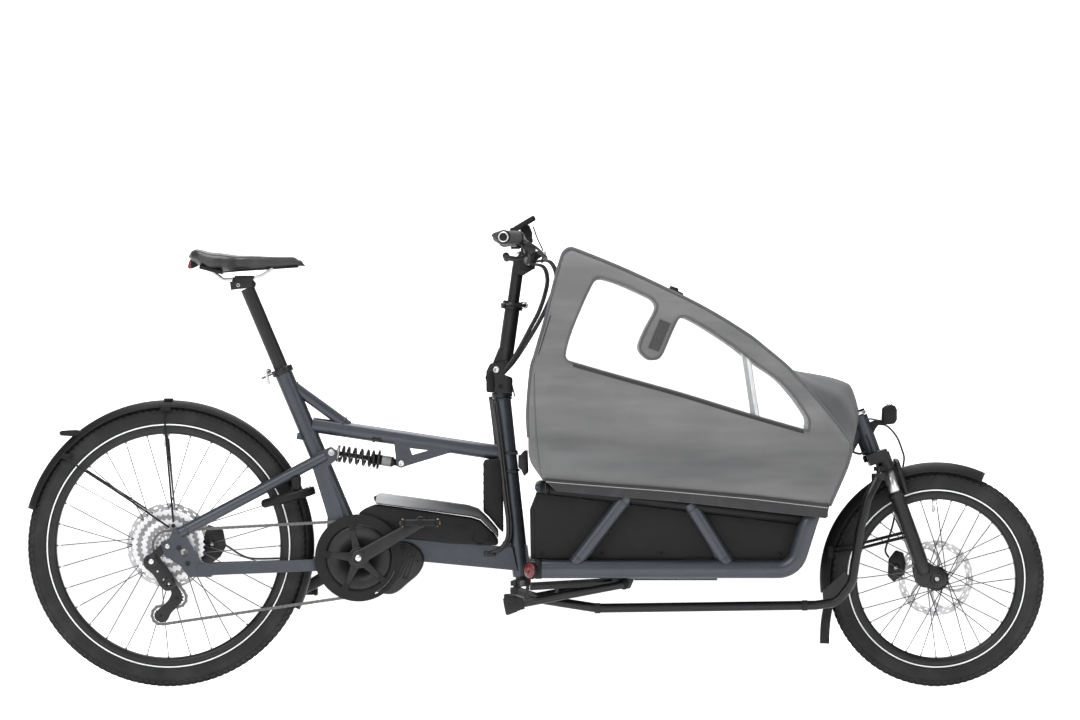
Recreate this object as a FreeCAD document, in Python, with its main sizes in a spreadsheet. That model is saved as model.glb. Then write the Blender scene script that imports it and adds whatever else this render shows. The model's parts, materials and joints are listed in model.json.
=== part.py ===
"""Front-loading cargo bicycle: rear-suspended frame, linkage-steered 20 inch front wheel and a covered box.

The bicycle faces +X, its drive side is -Y and +Z is up. The origin lies on the ground, at mid length and
mid width. Lengths are millimetres.
"""
import FreeCAD, Part
import math
import os
import re
from FreeCAD import Placement, Rotation, Vector

doc = FreeCAD.newDocument("CargoBicycle")
sheet = doc.addObject("Spreadsheet::Sheet", "Sizes")

SIZES = {
    # wheels
    "tyre_width": 55, "tyre_wall": 4, "bead_drop": 22.7, "bead_width": 31, "rim_depth": 21,
    "rear_tyre_radius": 335, "front_tyre_radius": 257, "rear_axle_x": -870, "front_axle_x": 957,
    "spoke_radius": 1.2, "hub_radius": 19, "flange_radius": 29, "flange_offset": 27, "axle_radius": 6,
    "rear_disc_radius": 101, "front_disc_radius": 90, "rear_disc_offset": 44, "front_disc_offset": 36,
    "disc_thickness": 2,
    "rear_dropout_offset": 74,
    # rear frame
    "seat_lean": 23, "seat_tube_radius": 21, "seat_post_radius": 16.95, "seat_bore_radius": 17,
    "top_tube_radius": 18.25, "stay_radius": 13, "down_tube_width": 50, "cradle_width": 54,
    "column_lean": 6.05, "column_radius": 20, "column_bore": 17, "shaft_radius": 14,
    "cross_tube_radius": 20, "running_gap": 0.05, "plate_thickness": 5,
    "pivot_x": -478, "pivot_height": 300, "pivot_lug_radius": 16, "pivot_pin_radius": 6,
    "crank_x": -417, "crank_height": 307, "spindle_radius": 12, "motor_width": 92, "battery_width": 92,
    # swingarm and shock
    "seatstay_radius": 13, "chainstay_height": 28, "chainstay_width": 14, "arm_plate_width": 14,
    "dropout_thickness": 8, "eye_radius": 11, "shock_pin_radius": 5,
    "damper_radius": 12.5, "shock_rod_radius": 6, "coil_radius": 18.5, "coil_wire_radius": 3,
    # drive
    "chainring_radius": 84, "guard_radius": 104, "guard_bore": 92, "chain_line": 51, "crank_length": 170,
    "cog_radius": 31.5, "largest_cog_radius": 88, "pulley_radius": 17.5, "chain_width": 5.4,
    "chain_height": 8.5,
    # cargo frame and box
    "side_tube_radius": 21.5, "side_tube_offset": 238, "side_tube_height": 284, "rail_radius": 12.5,
    "diagonal_radius": 17, "floor_tube_radius": 15, "panel_thickness": 5, "panel_offset": 211,
    "head_lean": 20, "head_tube_radius": 22, "head_bore": 18, "steerer_radius": 14,
    # cover
    "cover_thickness": 4, "cover_half_width": 264, "cover_draft": 4.5, "pole_radius": 6,
    # steering and bar
    "arm_length": 110, "rod_radius": 11, "rod_offset": 160, "ball_stud_radius": 5, "rod_eye_radius": 11,
    "stem_radius": 18, "stem_bore": 14.05, "post_radius": 14, "bar_radius": 11, "grip_radius": 16,
    "bar_half_width": 340,
    # fork
    "leg_offset": 58, "leg_rake": 20, "stanchion_radius": 14, "lower_radius": 17.5,
    # fenders
    "fender_width": 64, "fender_thickness": 2, "rear_fender_radius": 347, "front_fender_radius": 277,
    # kickstand
    "stand_x": 212, "stand_height": 248, "stand_radius": 12, "leg_radius": 10, "stand_half_width": 198,
    "cable_radius": 7,
}
for row, (alias, number) in enumerate(SIZES.items(), start=1):
    sheet.set(f"A{row}", alias)
    sheet.set(f"B{row}", str(number))
    sheet.setAlias(f"B{row}", alias)
doc.recompute()

nodes = []


def size(alias):
    """Number in the sheet's cell with this alias."""
    return float(sheet.get(alias))


def bound(text):
    """Expression in which each alias refers to its cell."""

    def cell(word):
        name = word.group(0)
        return "Sizes." + name if name in SIZES else name

    return re.sub(r"[a-z_]+", cell, text)


def node(piece, label):
    """Registers a finished sub-part under the name of its file."""
    piece.Label = label
    nodes.append(piece)
    return piece


def leaning(x, z, lean, height):
    """Point at a height on a mid-plane line through (x, z) that leans back by an angle in degrees."""
    return Vector(x - math.tan(math.radians(lean)) * (height - z), 0, height)


def seat_axis(height):
    return leaning(-603, 760, size("seat_lean"), height)


def column_axis(height):
    return leaning(-39, 340, size("column_lean"), height)


def head_axis(height):
    return leaning(778, 625, size("head_lean"), height)


REAR_AXLE = Vector(size("rear_axle_x"), 0, size("rear_tyre_radius"))
FRONT_AXLE = Vector(size("front_axle_x"), 0, size("front_tyre_radius"))
PIVOT = Vector(size("pivot_x"), 0, size("pivot_height"))
CRANK = Vector(size("crank_x"), 0, size("crank_height"))
SHOCK_REAR = Vector(-482, 0, 557)
SHOCK_FRONT = Vector(-316, 0, 531)
GUIDE_PULLEY = Vector(-848, 0, 212)
TENSION_PULLEY = Vector(-886, 0, 171)
STAND = Vector(size("stand_x"), 0, size("stand_height"))
ROD_PIVOT = Vector(-43, -size("arm_length"), 230)
ROD_HINGE = Vector(-math.tan(math.radians(size("column_lean"))), 0.03, 1).normalize()
HEAD_DOWN = Vector(math.sin(math.radians(size("head_lean"))), 0, -math.cos(math.radians(size("head_lean"))))
HEAD_FORWARD = Vector(-HEAD_DOWN.z, 0, HEAD_DOWN.x)
ACROSS = Vector(0, 1, 0)


def shifted(point, y):
    return Vector(point.x, y, point.z)


def rod(name, start, end, radius):
    """Round bar between two points; its radius is an expression of the sheet."""
    bar = doc.addObject("Part::Cylinder", name)
    bar.setExpression("Radius", bound(str(radius)))
    bar.Height = (end - start).Length
    bar.Placement = Placement(start, Rotation(Vector(0, 0, 1), end - start))
    return bar


def cross_rod(name, point, low, high, radius):
    """Round bar along Y."""
    return rod(name, shifted(point, low), shifted(point, high), radius)


def fused(name, pieces):
    joined = doc.addObject("Part::MultiFuse", name)
    joined.Shapes = pieces
    joined.Refine = True
    return joined


def cut(name, base, tool):
    left = doc.addObject("Part::Cut", name)
    left.Base = base
    left.Tool = tool
    return left


def ring(name, start, end, radius, bore):
    """Tube between two points."""
    return cut(name, rod(name + "_outer", start, end, radius), rod(name + "_bore", start, end, bore))


def group(name, pieces):
    """Separate solids kept in one sub-part."""
    together = doc.addObject("Part::Compound", name)
    together.Links = pieces
    return together


def rounded(points, radius, closed):
    """Straight runs joined by tangent arcs; radius may be one number or one per corner."""
    count = len(points)
    corners = range(count) if closed else range(1, count - 1)
    radii = radius if isinstance(radius, (list, tuple)) else [radius] * count
    curves = []
    last = points[0]
    first = points[0]
    for index in corners:
        before, here, after = points[index - 1], points[index], points[(index + 1) % count]
        inward = (before - here).normalize()
        outward = (after - here).normalize()
        half = inward.getAngle(outward) / 2
        if radii[index] <= 0 or abs(half - math.pi / 2) < 1e-4:
            arrive = leave = here
            arc = None
        else:
            reach = radii[index] / math.tan(half)
            arrive = here + inward * reach
            leave = here + outward * reach
            middle = here + (inward + outward).normalize() * (radii[index] / math.sin(half) - radii[index])
            arc = Part.Arc(arrive, middle, leave)
        if index == 0:
            first = arrive
        elif (arrive - last).Length > 1e-6:
            curves.append(Part.LineSegment(last, arrive))
        if arc:
            curves.append(arc)
        last = leave
    end = first if closed else points[-1]
    if (end - last).Length > 1e-6:
        curves.append(Part.LineSegment(last, end))
    return curves


def bent_bar(name, points, bend, radius):
    """Round bar swept along a route of straight runs and tangent arcs."""
    route = Part.Wire([curve.toShape() for curve in rounded(points, bend, False)])
    start = points[0]
    section = Part.Face(Part.Wire(Part.Circle(start, points[1] - start, radius).toShape()))
    bar = doc.addObject("Part::Feature", name)
    bar.Shape = route.makePipe(section)
    return bar


def plate(name, outline, y_high, width, rounding=0, holes=()):
    """Flat piece in a plane of constant Y, padded from an outline of (x, z) corners."""
    body = doc.addObject("PartDesign::Body", name)
    sketch = body.newObject("Sketcher::SketchObject", name + "_outline")
    plane = [item for item in body.Origin.OriginFeatures if item.Role == "XZ_Plane"][0]
    sketch.AttachmentSupport = [(plane, "")]
    sketch.MapMode = "FlatFace"
    for curve in rounded([Vector(x, z, 0) for x, z in outline], rounding, True):
        sketch.addGeometry(curve)
    for x, z, radius in holes:
        sketch.addGeometry(Part.Circle(Vector(x, z, 0), Vector(0, 0, 1), radius))
    pad = body.newObject("PartDesign::Pad", name + "_pad")
    pad.Profile = sketch
    pad.setExpression("Length", bound(str(width)))
    body.Placement = Placement(Vector(0, y_high, 0), Rotation())
    return body


def block(name, centre, lengths, turn=None):
    """Box about a centre; lengths are three expressions of the sheet."""
    box = doc.addObject("Part::Box", name)
    for prop, length in zip(("Length", "Width", "Height"), lengths):
        box.setExpression(prop, bound(str(length)))
    doc.recompute([box])
    turn = turn or Rotation()
    half = Vector(box.Length.Value, box.Width.Value, box.Height.Value) * 0.5
    box.Placement = Placement(centre - turn.multVec(half), turn)
    return box


def bar_between(name, start, end, height, width):
    """Flat bar whose length runs from start to end and whose height lies in the vertical plane."""
    along = (end - start).normalize()
    side = Vector(0, 0, 1).cross(along).normalize()
    up = along.cross(side)
    turn = Rotation(along, side, up, "XYZ")
    return block(name, (start + end) * 0.5, ((end - start).Length, width, height), turn)


# ---------------------------------------------------------------- wheels

def tyre(label, axle, tyre_radius):
    """Casing of C section, open towards the rim."""
    centre_line = f"{tyre_radius} - tyre_width / 2"
    turn = Rotation(Vector(1, 0, 0), 90)
    outer = doc.addObject("Part::Torus", label + "_outer")
    outer.setExpression("Radius1", bound(centre_line))
    outer.setExpression("Radius2", bound("tyre_width / 2"))
    inner = doc.addObject("Part::Torus", label + "_inner")
    inner.setExpression("Radius1", bound(centre_line))
    inner.setExpression("Radius2", bound("tyre_width / 2 - tyre_wall"))
    for torus in (outer, inner):
        torus.Placement = Placement(axle, turn)
    seat = cross_rod(label + "_seat", axle, -30, 30, centre_line + " - bead_drop")
    return node(cut(label, cut(label + "_casing", outer, inner), seat), label)


def rim(label, axle, tyre_radius, spoke_count):
    """Rim with its spokes, which lean forwards from one flange and backwards from the other."""
    seat = f"{tyre_radius} - tyre_width / 2 - bead_drop"
    half = size("bead_width") / 2
    hoop = ring(label + "_hoop", shifted(axle, -half), shifted(axle, half), seat, seat + " - rim_depth")
    inner = size(tyre_radius) - size("tyre_width") / 2 - size("bead_drop") - size("rim_depth")
    spokes = []
    for index in range(spoke_count):
        side = 1 if index % 2 else -1
        angle = 2 * math.pi * index / spoke_count
        root = angle + side * math.radians(62)
        flange = size("flange_radius") - 5
        start = axle + Vector(math.cos(root) * flange, side * (size("flange_offset") + 3.5),
                              math.sin(root) * flange)
        end = axle + Vector(math.cos(angle) * (inner + 3), side * 4, math.sin(angle) * (inner + 3))
        spokes.append(rod(f"{label}_spoke{index}", start, end, "spoke_radius"))
    return node(group(label, [hoop] + spokes), label)


def hub(label, axle, disc_radius, disc_offset, half_width):
    """Hub shell, through axle and brake disc."""
    offset = size("flange_offset")
    shell = [cross_rod(label + "_barrel", axle, -offset - 3, offset + 12, "hub_radius")]
    for side in (-1, 1):
        low = side * offset - 2
        shell.append(cross_rod(f"{label}_flange{side}", axle, low, low + 4, "flange_radius"))
    spindle = cross_rod(label + "_axle", axle, -half_width, half_width, "axle_radius")
    bored = cut(label + "_shell", fused(label + "_solid", shell),
                cross_rod(label + "_bore", axle, -half_width, half_width, "axle_radius"))
    face = size(disc_offset)
    band = ring(label + "_band", shifted(axle, face), shifted(axle, face + size("disc_thickness")),
                disc_radius, disc_radius + " - 17")
    arms = [ring(label + "_carrier", shifted(axle, face), shifted(axle, face + size("disc_thickness")),
                 28, "axle_radius + 1")]
    reach = size(disc_radius) - 16
    for index in range(6):
        angle = math.radians(60 * index + 15)
        far = shifted(axle, face + size("disc_thickness") / 2)
        out = far + Vector(math.cos(angle + 0.5) * reach, 0, math.sin(angle + 0.5) * reach)
        near = far + Vector(math.cos(angle) * 22, 0, math.sin(angle) * 22)
        turn = Rotation(out - near, ACROSS, (out - near).cross(ACROSS), "XYZ")
        arms.append(block(f"{label}_arm{index}", (near + out) * 0.5,
                          ((out - near).Length, "disc_thickness", 7), turn))
    disc = fused(label + "_disc", [band] + arms)
    return node(group(label, [bored, spindle, disc]), label)


def wheels():
    tyre("rear_tyre", REAR_AXLE, "rear_tyre_radius")
    rim("rear_rim", REAR_AXLE, "rear_tyre_radius", 32)
    hub("rear_hub", REAR_AXLE, "rear_disc_radius", "rear_disc_offset", 92)
    tyre("front_tyre", FRONT_AXLE, "front_tyre_radius")
    rim("front_rim", FRONT_AXLE, "front_tyre_radius", 32)
    hub("front_hub", FRONT_AXLE, "front_disc_radius", "front_disc_offset", 66)


# ---------------------------------------------------------------- rear frame

def rear_frame(cargo_cutters):
    """Seat tube, top tube, down tube, steering column and motor cradle, with their bores."""
    down_half = size("down_tube_width") / 2
    cradle_half = size("cradle_width") / 2
    pieces = [
        rod("seat_tube", seat_axis(372), seat_axis(745), "seat_tube_radius"),
        rod("top_tube", Vector(-528, 0, 623), Vector(-70, 0, 554), "top_tube_radius"),
        rod("seat_brace", Vector(-590, 0, 727), Vector(-442, 0, 619), "stay_radius"),
        rod("column_tube", column_axis(262), column_axis(690), "column_radius"),
        plate("down_tube", [(-300, 353), (-52, 331), (-40, 276), (-262, 297), (-285, 300)],
              down_half, "down_tube_width", [0, 0, 0, 0, 0]),
        plate("motor_cradle", [(-494, 300), (-486, 322), (-466, 380), (-420, 392), (-292, 354), (-262, 352),
                               (-262, 297), (-285, 300), (-300, 338), (-446, 352), (-462, 318), (-462, 296),
                               (-478, 284)], cradle_half, "cradle_width"),
        cross_rod("pivot_lug", PIVOT, -28.7, 28.7, "pivot_lug_radius"),
        plate("column_gusset", [(-75, 345), (-16, 336), (-12, 305), (2, 298), (2, 276), (-40, 276),
                                (-70, 290)], 12, 24),
        cross_rod("cross_tube", Vector(10, 0, 284), -238, 238, "cross_tube_radius"),
        block("rear_boss", Vector(-548, 0, 594), (34, 16, 16), Rotation(ACROSS, 8)),
    ]
    for side in (-1, 1):
        high = 15.5 if side > 0 else -10.5
        pieces.append(plate(f"shock_lug{side}", [(-334, 585), (-327, 524), (-316, 520), (-303, 525),
                                                 (-200, 556), (-200, 566)], high, "plate_thickness", 0))
    solid = fused("rear_frame_solid", pieces)
    bores = [
        rod("post_bore", seat_axis(462), seat_axis(760), "seat_bore_radius"),
        rod("shaft_bore", column_axis(240), column_axis(710), "column_bore"),
        cross_rod("pivot_bore", PIVOT, -40, 40, "pivot_pin_radius + running_gap"),
        plate("lug_window", [(-296, 567), (-290, 551), (-252, 562)], 60, 120, 0),
    ]
    drilled = cut("rear_frame_drilled", solid, fused("rear_frame_bores", bores))
    return node(cut("rear_frame", drilled, cargo_cutters), "rear_frame")


def motor_and_battery(frame):
    """Mid-drive motor under the cradle and the battery on the down tube."""
    housing = plate("motor_block", [(-446, 350), (-300, 345), (-271, 330), (-262, 313), (-262, 288),
                                    (-275, 267),
                                    (-296, 249), (-327, 223), (-356, 220), (-400, 236), (-438, 268),
                                    (-446, 300)], 50, "motor_width",
                    [4, 4, 8, 8, 8, 8, 12, 12, 12, 14, 12, 8])
    spindle_bore = cross_rod("spindle_bore", CRANK, -60, 60, "spindle_radius + running_gap")
    node(cut("motor", cut("motor_bored", housing, spindle_bore), frame), "motor")
    half = size("battery_width") / 2
    body = plate("battery_block", [(-377, 434), (-148, 403), (-128, 396), (-84, 352), (-84, 334),
                                   (-200, 340),
                                   (-313, 352), (-419, 411), (-400, 425)], half, "battery_width")
    node(cut("battery", body, frame), "battery")
    node(plate("battery_lid", [(-377, 434), (-372, 459), (-366, 461), (-155, 432), (-130, 422), (-109, 401),
                               (-84, 374), (-84, 352), (-128, 396), (-148, 403)], half + 1,
               "battery_width + 2"),
         "battery_lid")


def seat(frame):
    """Seat post with its collar, quick lever, saddle and rails."""
    collar = ring("collar_band", seat_axis(745), seat_axis(758), "seat_tube_radius + 4", "seat_bore_radius")
    node(collar, "seat_collar")
    lever_axle = rod("lever_axle", Vector(-632, -14, 750), Vector(-632, 14, 750), 4)
    blade = bar_between("lever_blade", Vector(-634, -16, 749), Vector(-626, -16, 717), 7, 5)
    node(fused("seat_lever", [lever_axle, blade]), "seat_lever")
    post = rod("post_tube", seat_axis(585), seat_axis(948), "seat_post_radius")
    head = block("post_head", Vector(-697, 0, 957), (52, 40, 20), Rotation(ACROSS, -8))
    clamp = block("rail_clamp", Vector(-690, 0, 972), (44, 58, 12), Rotation(ACROSS, 0))
    node(fused("seat_post", [post, head, clamp]), "seat_post")
    side_view = plate("saddle_side", [(-820, 1024), (-806, 1042), (-760, 1034), (-700, 1027), (-575, 1023),
                                      (-552, 1014), (-546, 998), (-620, 995), (-700, 993), (-770, 985),
                                      (-812, 1008)], 80, 160, [4, 8, 0, 0, 0, 8, 4, 0, 0, 8, 6])
    plan = doc.addObject("Part::Feature", "saddle_plan")
    corners = [(-822, 45), (-800, 74), (-740, 74), (-690, 40), (-640, 24), (-560, 19), (-544, 8)]
    loop = [Vector(x, y, 970) for x, y in corners] + [Vector(x, -y, 970) for x, y in reversed(corners)]
    plan.Shape = Part.Face(Part.makePolygon(loop + loop[:1])).extrude(Vector(0, 0, 90))
    pad = doc.addObject("Part::Common", "saddle_pad")
    pad.Base = side_view
    pad.Tool = plan
    rails = []
    for side in (-1, 1):
        route = [Vector(-768, side * 26, 987), Vector(-738, side * 24, 968), Vector(-700, side * 22, 981),
                 Vector(-660, side * 22, 981), Vector(-622, side * 16, 996)]
        rails.append(bent_bar(f"rail{side}", route, 12, 3))
    rail_cut = cut("pad_on_rails", pad, group("rail_pair", rails))
    node(group("saddle", [rail_cut] + rails), "saddle")


# ---------------------------------------------------------------- swingarm, shock and drive

def swingarm():
    """Rear triangle: stays, dropouts and the yoke that straddles the seat tube."""
    pieces = []
    for side in (-1, 1):
        high = side * 36 + size("arm_plate_width") / 2
        pieces.append(rod(f"seatstay{side}", Vector(-842, side * 79, 366), Vector(-497, side * 38, 549),
                          "seatstay_radius"))
        pieces.append(bar_between(f"chainstay{side}", Vector(-800, side * 79, 279),
                                  Vector(-500, side * 37, 290),
                                  "chainstay_height", "chainstay_width"))
        outer = side * (size("rear_dropout_offset") + size("dropout_thickness"))
        pieces.append(plate(f"dropout{side}", [(-868, 351), (-855, 378), (-838, 380), (-822, 352),
                                               (-811, 335),
                                               (-790, 299), (-765, 282), (-765, 262), (-820, 262),
                                               (-838, 287),
                                               (-884, 318), (-886, 345)],
                            max(outer, side * size("rear_dropout_offset")), "dropout_thickness",
                            0, [(-830, 320, 9)]))
        pieces.append(plate(f"strut{side}", [(-531, 534), (-516, 556), (-484, 571), (-468, 560),
                                             (-470, 540),
                                             (-492, 522), (-454, 410), (-460, 300), (-478, 282),
                                             (-505, 276),
                                             (-508, 304), (-494, 330), (-491, 405)],
                            high, "arm_plate_width", [4, 4, 8, 8, 4, 8, 12, 12, 10, 0, 0, 0, 12]))
    pieces.append(cross_rod("pivot_pin", PIVOT, -46, 46, "pivot_pin_radius"))
    pieces.append(cross_rod("shock_pin", SHOCK_REAR, -40, 40, "shock_pin_radius"))
    pieces.append(cross_rod("yoke", Vector(-506, 0, 286), -40, 40, 6))
    axle_bore = cross_rod("dropout_bore", REAR_AXLE, -100, 100, "axle_radius + running_gap")
    return node(cut("swingarm", fused("swingarm_solid", pieces), axle_bore), "swingarm")


def shock():
    """Coil-over damper between the swingarm and the lugs under the top tube."""
    along = (SHOCK_REAR - SHOCK_FRONT).normalize()
    damper = fused("damper_solid", [
        rod("damper_tube", SHOCK_FRONT + along * 20, SHOCK_FRONT + along * 74, "damper_radius"),
        rod("damper_neck", SHOCK_FRONT + along * 4, SHOCK_FRONT + along * 24, 8),
        cross_rod("front_eye", SHOCK_FRONT, -9, 9, 9),
        rod("damper_collar", SHOCK_FRONT + along * 52, SHOCK_FRONT + along * 58, "coil_radius + 3")])
    rod_bore = rod("damper_bore", SHOCK_FRONT + along * 16, SHOCK_FRONT + along * 76,
                   "shock_rod_radius + running_gap")
    pin_bore = cross_rod("front_pin_bore", SHOCK_FRONT, -20, 20, 4)
    node(cut("shock_body", cut("damper_drilled", damper, rod_bore), pin_bore), "shock_body")
    shaft = fused("shock_shaft_solid", [
        rod("shock_rod", SHOCK_FRONT + along * 56, SHOCK_REAR - along * 8, "shock_rod_radius"),
        cross_rod("rear_eye", SHOCK_REAR, -10, 10, "eye_radius"),
        rod("spring_cup", SHOCK_REAR - along * 20, SHOCK_REAR - along * 14, "coil_radius + 3")])
    node(cut("shock_shaft", shaft, cross_rod("rear_pin_bore", SHOCK_REAR, -20, 20,
                                             "shock_pin_radius + 0.8")),
         "shock_shaft")
    length = (SHOCK_REAR - SHOCK_FRONT).Length - 20 - 58.3
    helix = Part.makeHelix(length / 6.2, length - 7, size("coil_radius"))
    section = Part.Wire(Part.Circle(Vector(size("coil_radius"), 0, 0), Vector(0, 1, 0.12),
                                    size("coil_wire_radius")).toShape())
    coil = doc.addObject("Part::Feature", "shock_coil")
    coil.Shape = Part.Wire(helix).makePipeShell([section], True, True)
    coil.Placement = Placement(SHOCK_FRONT + along * (58.3 + 3.5), Rotation(Vector(0, 0, 1), along))
    node(coil, "shock_coil")


def drivetrain():
    """Cranks, chainring with guard, pedals, cog stack, derailleur and chain."""
    angle = math.radians(30)
    reach = Vector(math.cos(angle), 0, math.sin(angle)) * size("crank_length")
    line = size("chain_line")
    arms = [cross_rod("spindle", CRANK, -94, 94, "spindle_radius")]
    for side in (-1, 1):
        tip = CRANK + reach * -side
        y = side * 88
        arms.append(bar_between(f"arm{side}", shifted(CRANK, y), shifted(tip, y), 26, 13))
        for point, radius in ((CRANK, 20), (tip, 14)):
            arms.append(cross_rod(f"arm_end{side}_{radius}", point, y - 7, y + 7, radius))
    bores = [cross_rod(f"pedal_bore{side}", CRANK + reach * -side, side * 88 - 9, side * 88 + 9, 5.05)
             for side in (-1, 1)]
    node(cut("crankset", fused("crankset_solid", arms), group("pedal_bores", bores)), "crankset")
    rings = [ring("tooth_ring", shifted(CRANK, -line - 5), shifted(CRANK, -line + 1.5), "chainring_radius",
                  "chainring_radius - 14"),
             ring("guard", shifted(CRANK, -line - 9), shifted(CRANK, -line - 6), "guard_radius",
                  "guard_bore - 10")]
    for index in range(5):
        turn = math.radians(72 * index + 30)
        out = Vector(math.cos(turn), 0, math.sin(turn))
        start = shifted(CRANK, -line - 6.5) + out * 15
        end = shifted(CRANK, -line - 6.5) + out * 86
        rings.append(bar_between(f"spider{index}", start, end, 14, 5))
    rings.append(cross_rod("spider_hub", CRANK, -line - 8, -line - 2, 26))
    node(cut("chainring", fused("chainring_solid", rings), cross_rod("ring_bore", CRANK, -80, -30,
                                                                     "spindle_radius")),
         "chainring")
    for side, label in ((-1, "pedal_right"), (1, "pedal_left")):
        tip = CRANK + reach * -side
        outer = side * 98
        body = block(label + "_body", shifted(tip, side * 150), (94, 96, 18))
        cage_gaps = [block(f"{label}_gap{place}", shifted(tip, side * 150) + Vector(place * 26, 0, 0),
                           (20, 70, 30))
                     for place in (-1, 1)]
        spindle = cross_rod(label + "_spindle", tip, min(side * 82, outer + side * 6),
                            max(side * 82, outer + side * 6),
                            5)
        node(fused(label, [cut(label + "_cage", body, group(label + "_gaps", cage_gaps)), spindle]), label)
    cogs = []
    radii = [15, 20, 26, "cog_radius", 43, 54, 66, 77, "largest_cog_radius"]
    for index, radius in enumerate(radii):
        y = -line + (index - radii.index("cog_radius")) * 3.6
        cogs.append(cross_rod(f"cog{index}", REAR_AXLE, y - 0.8, y + 0.8, radius))
    cogs.append(cross_rod("cog_body", REAR_AXLE, -line - 13, -line + 17, 13))
    node(cut("cassette", fused("cassette_solid", cogs), cross_rod("cassette_bore", REAR_AXLE, -90, -20,
                                                                   "axle_radius + running_gap")),
         "cassette")
    derailleur(line)
    chain(line)


def derailleur(line):
    knuckle = Vector(-866, 0, 246)
    upper = fused("derailleur_solid", [
        cross_rod("hanger_bolt", Vector(-908, 0, 300), -98, -82.3, 8),
        plate("hanger", [(-880, 318), (-886, 340), (-920, 306), (-916, 288), (-898, 290)], -84, 6),
        plate("parallelogram", [(-924, 312), (-894, 314), (-846, 262), (-846, 232), (-876, 228),
                                (-926, 286)], -84,
              13, 6),
    ])
    node(cut("derailleur", upper, cross_rod("cage_bore", knuckle, -110, -60, 5.05)), "derailleur")
    low = -line - 16
    slot = [(GUIDE_PULLEY.x, GUIDE_PULLEY.z, 4.05), (TENSION_PULLEY.x, TENSION_PULLEY.z, 4.05)]
    cage = [plate(f"cage_plate{y}", [(-862, 256), (-838, 226), (-836, 204), (-872, 156), (-894, 156),
                                     (-900, 176),
                                     (-866, 212), (-874, 250)], y, 2, 4, slot)
            for y in (-line + 7, -line - 5)]
    cage.append(cross_rod("cage_pin", knuckle, -97, -line + 5, 5))
    node(fused("derailleur_cage", cage), "derailleur_cage")
    for centre, label in ((GUIDE_PULLEY, "guide_pulley"), (TENSION_PULLEY, "tension_pulley")):
        wheel = [cross_rod(label + "_rim", centre, -line - 2, -line + 2, "pulley_radius"),
                 cross_rod(label + "_pin", centre, -line - 7, -line + 7, 4)]
        node(fused(label, wheel), label)


def tangent(first, first_radius, first_turn, second, second_radius, second_turn):
    """Points where a belt leaves one wheel and meets the next; a turn is +1 clockwise seen from -Y."""
    gap = second - first
    span = math.hypot(gap.x, gap.z)
    heading = math.atan2(gap.z, gap.x)
    swing = math.asin((first_turn * first_radius - second_turn * second_radius) / span)
    normal = heading - swing + math.pi / 2
    out = Vector(math.cos(normal), 0, math.sin(normal))
    return first + out * (first_turn * first_radius), second + out * (second_turn * second_radius)


def chain(line):
    """Closed loop over chainring, cog and both pulleys, a band as high as the chain's plates."""
    half = size("chain_height") / 2
    wheels_round = [(CRANK, size("chainring_radius") + half + 0.3, 1),
                    (TENSION_PULLEY, size("pulley_radius") + half + 0.3, 1),
                    (GUIDE_PULLEY, size("pulley_radius") + half + 0.3, -1),
                    (REAR_AXLE, size("cog_radius") + half + 0.3, 1)]

    def loop(offset):
        joints = []
        for index, (centre, radius, turn) in enumerate(wheels_round):
            after = wheels_round[(index + 1) % len(wheels_round)]
            joints.append(tangent(centre, radius + turn * offset, turn, after[0],
                                  after[1] + after[2] * offset,
                                  after[2]))
        edges = []
        for index, (centre, radius, turn) in enumerate(wheels_round):
            arrive = joints[index - 1][1]
            leave = joints[index][0]
            begin = math.atan2(arrive.z - centre.z, arrive.x - centre.x)
            end = math.atan2(leave.z - centre.z, leave.x - centre.x)
            sweep = (begin - end) % (2 * math.pi) if turn > 0 else -((end - begin) % (2 * math.pi))
            middle = begin - sweep / 2
            reach = radius + turn * offset
            top = centre + Vector(math.cos(middle) * reach, 0, math.sin(middle) * reach)
            edges.append(Part.Arc(arrive, top, leave).toShape())
            edges.append(Part.LineSegment(leave, joints[index][1]).toShape())
        return Part.Wire(edges)

    face = Part.Face(loop(half)).cut(Part.Face(loop(-half)))
    belt = doc.addObject("Part::Feature", "chain")
    belt.Shape = face.extrude(Vector(0, size("chain_width"), 0))
    belt.Placement = Placement(Vector(0, -line - size("chain_width") / 2, 0), Rotation())
    node(belt, "chain")


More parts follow.
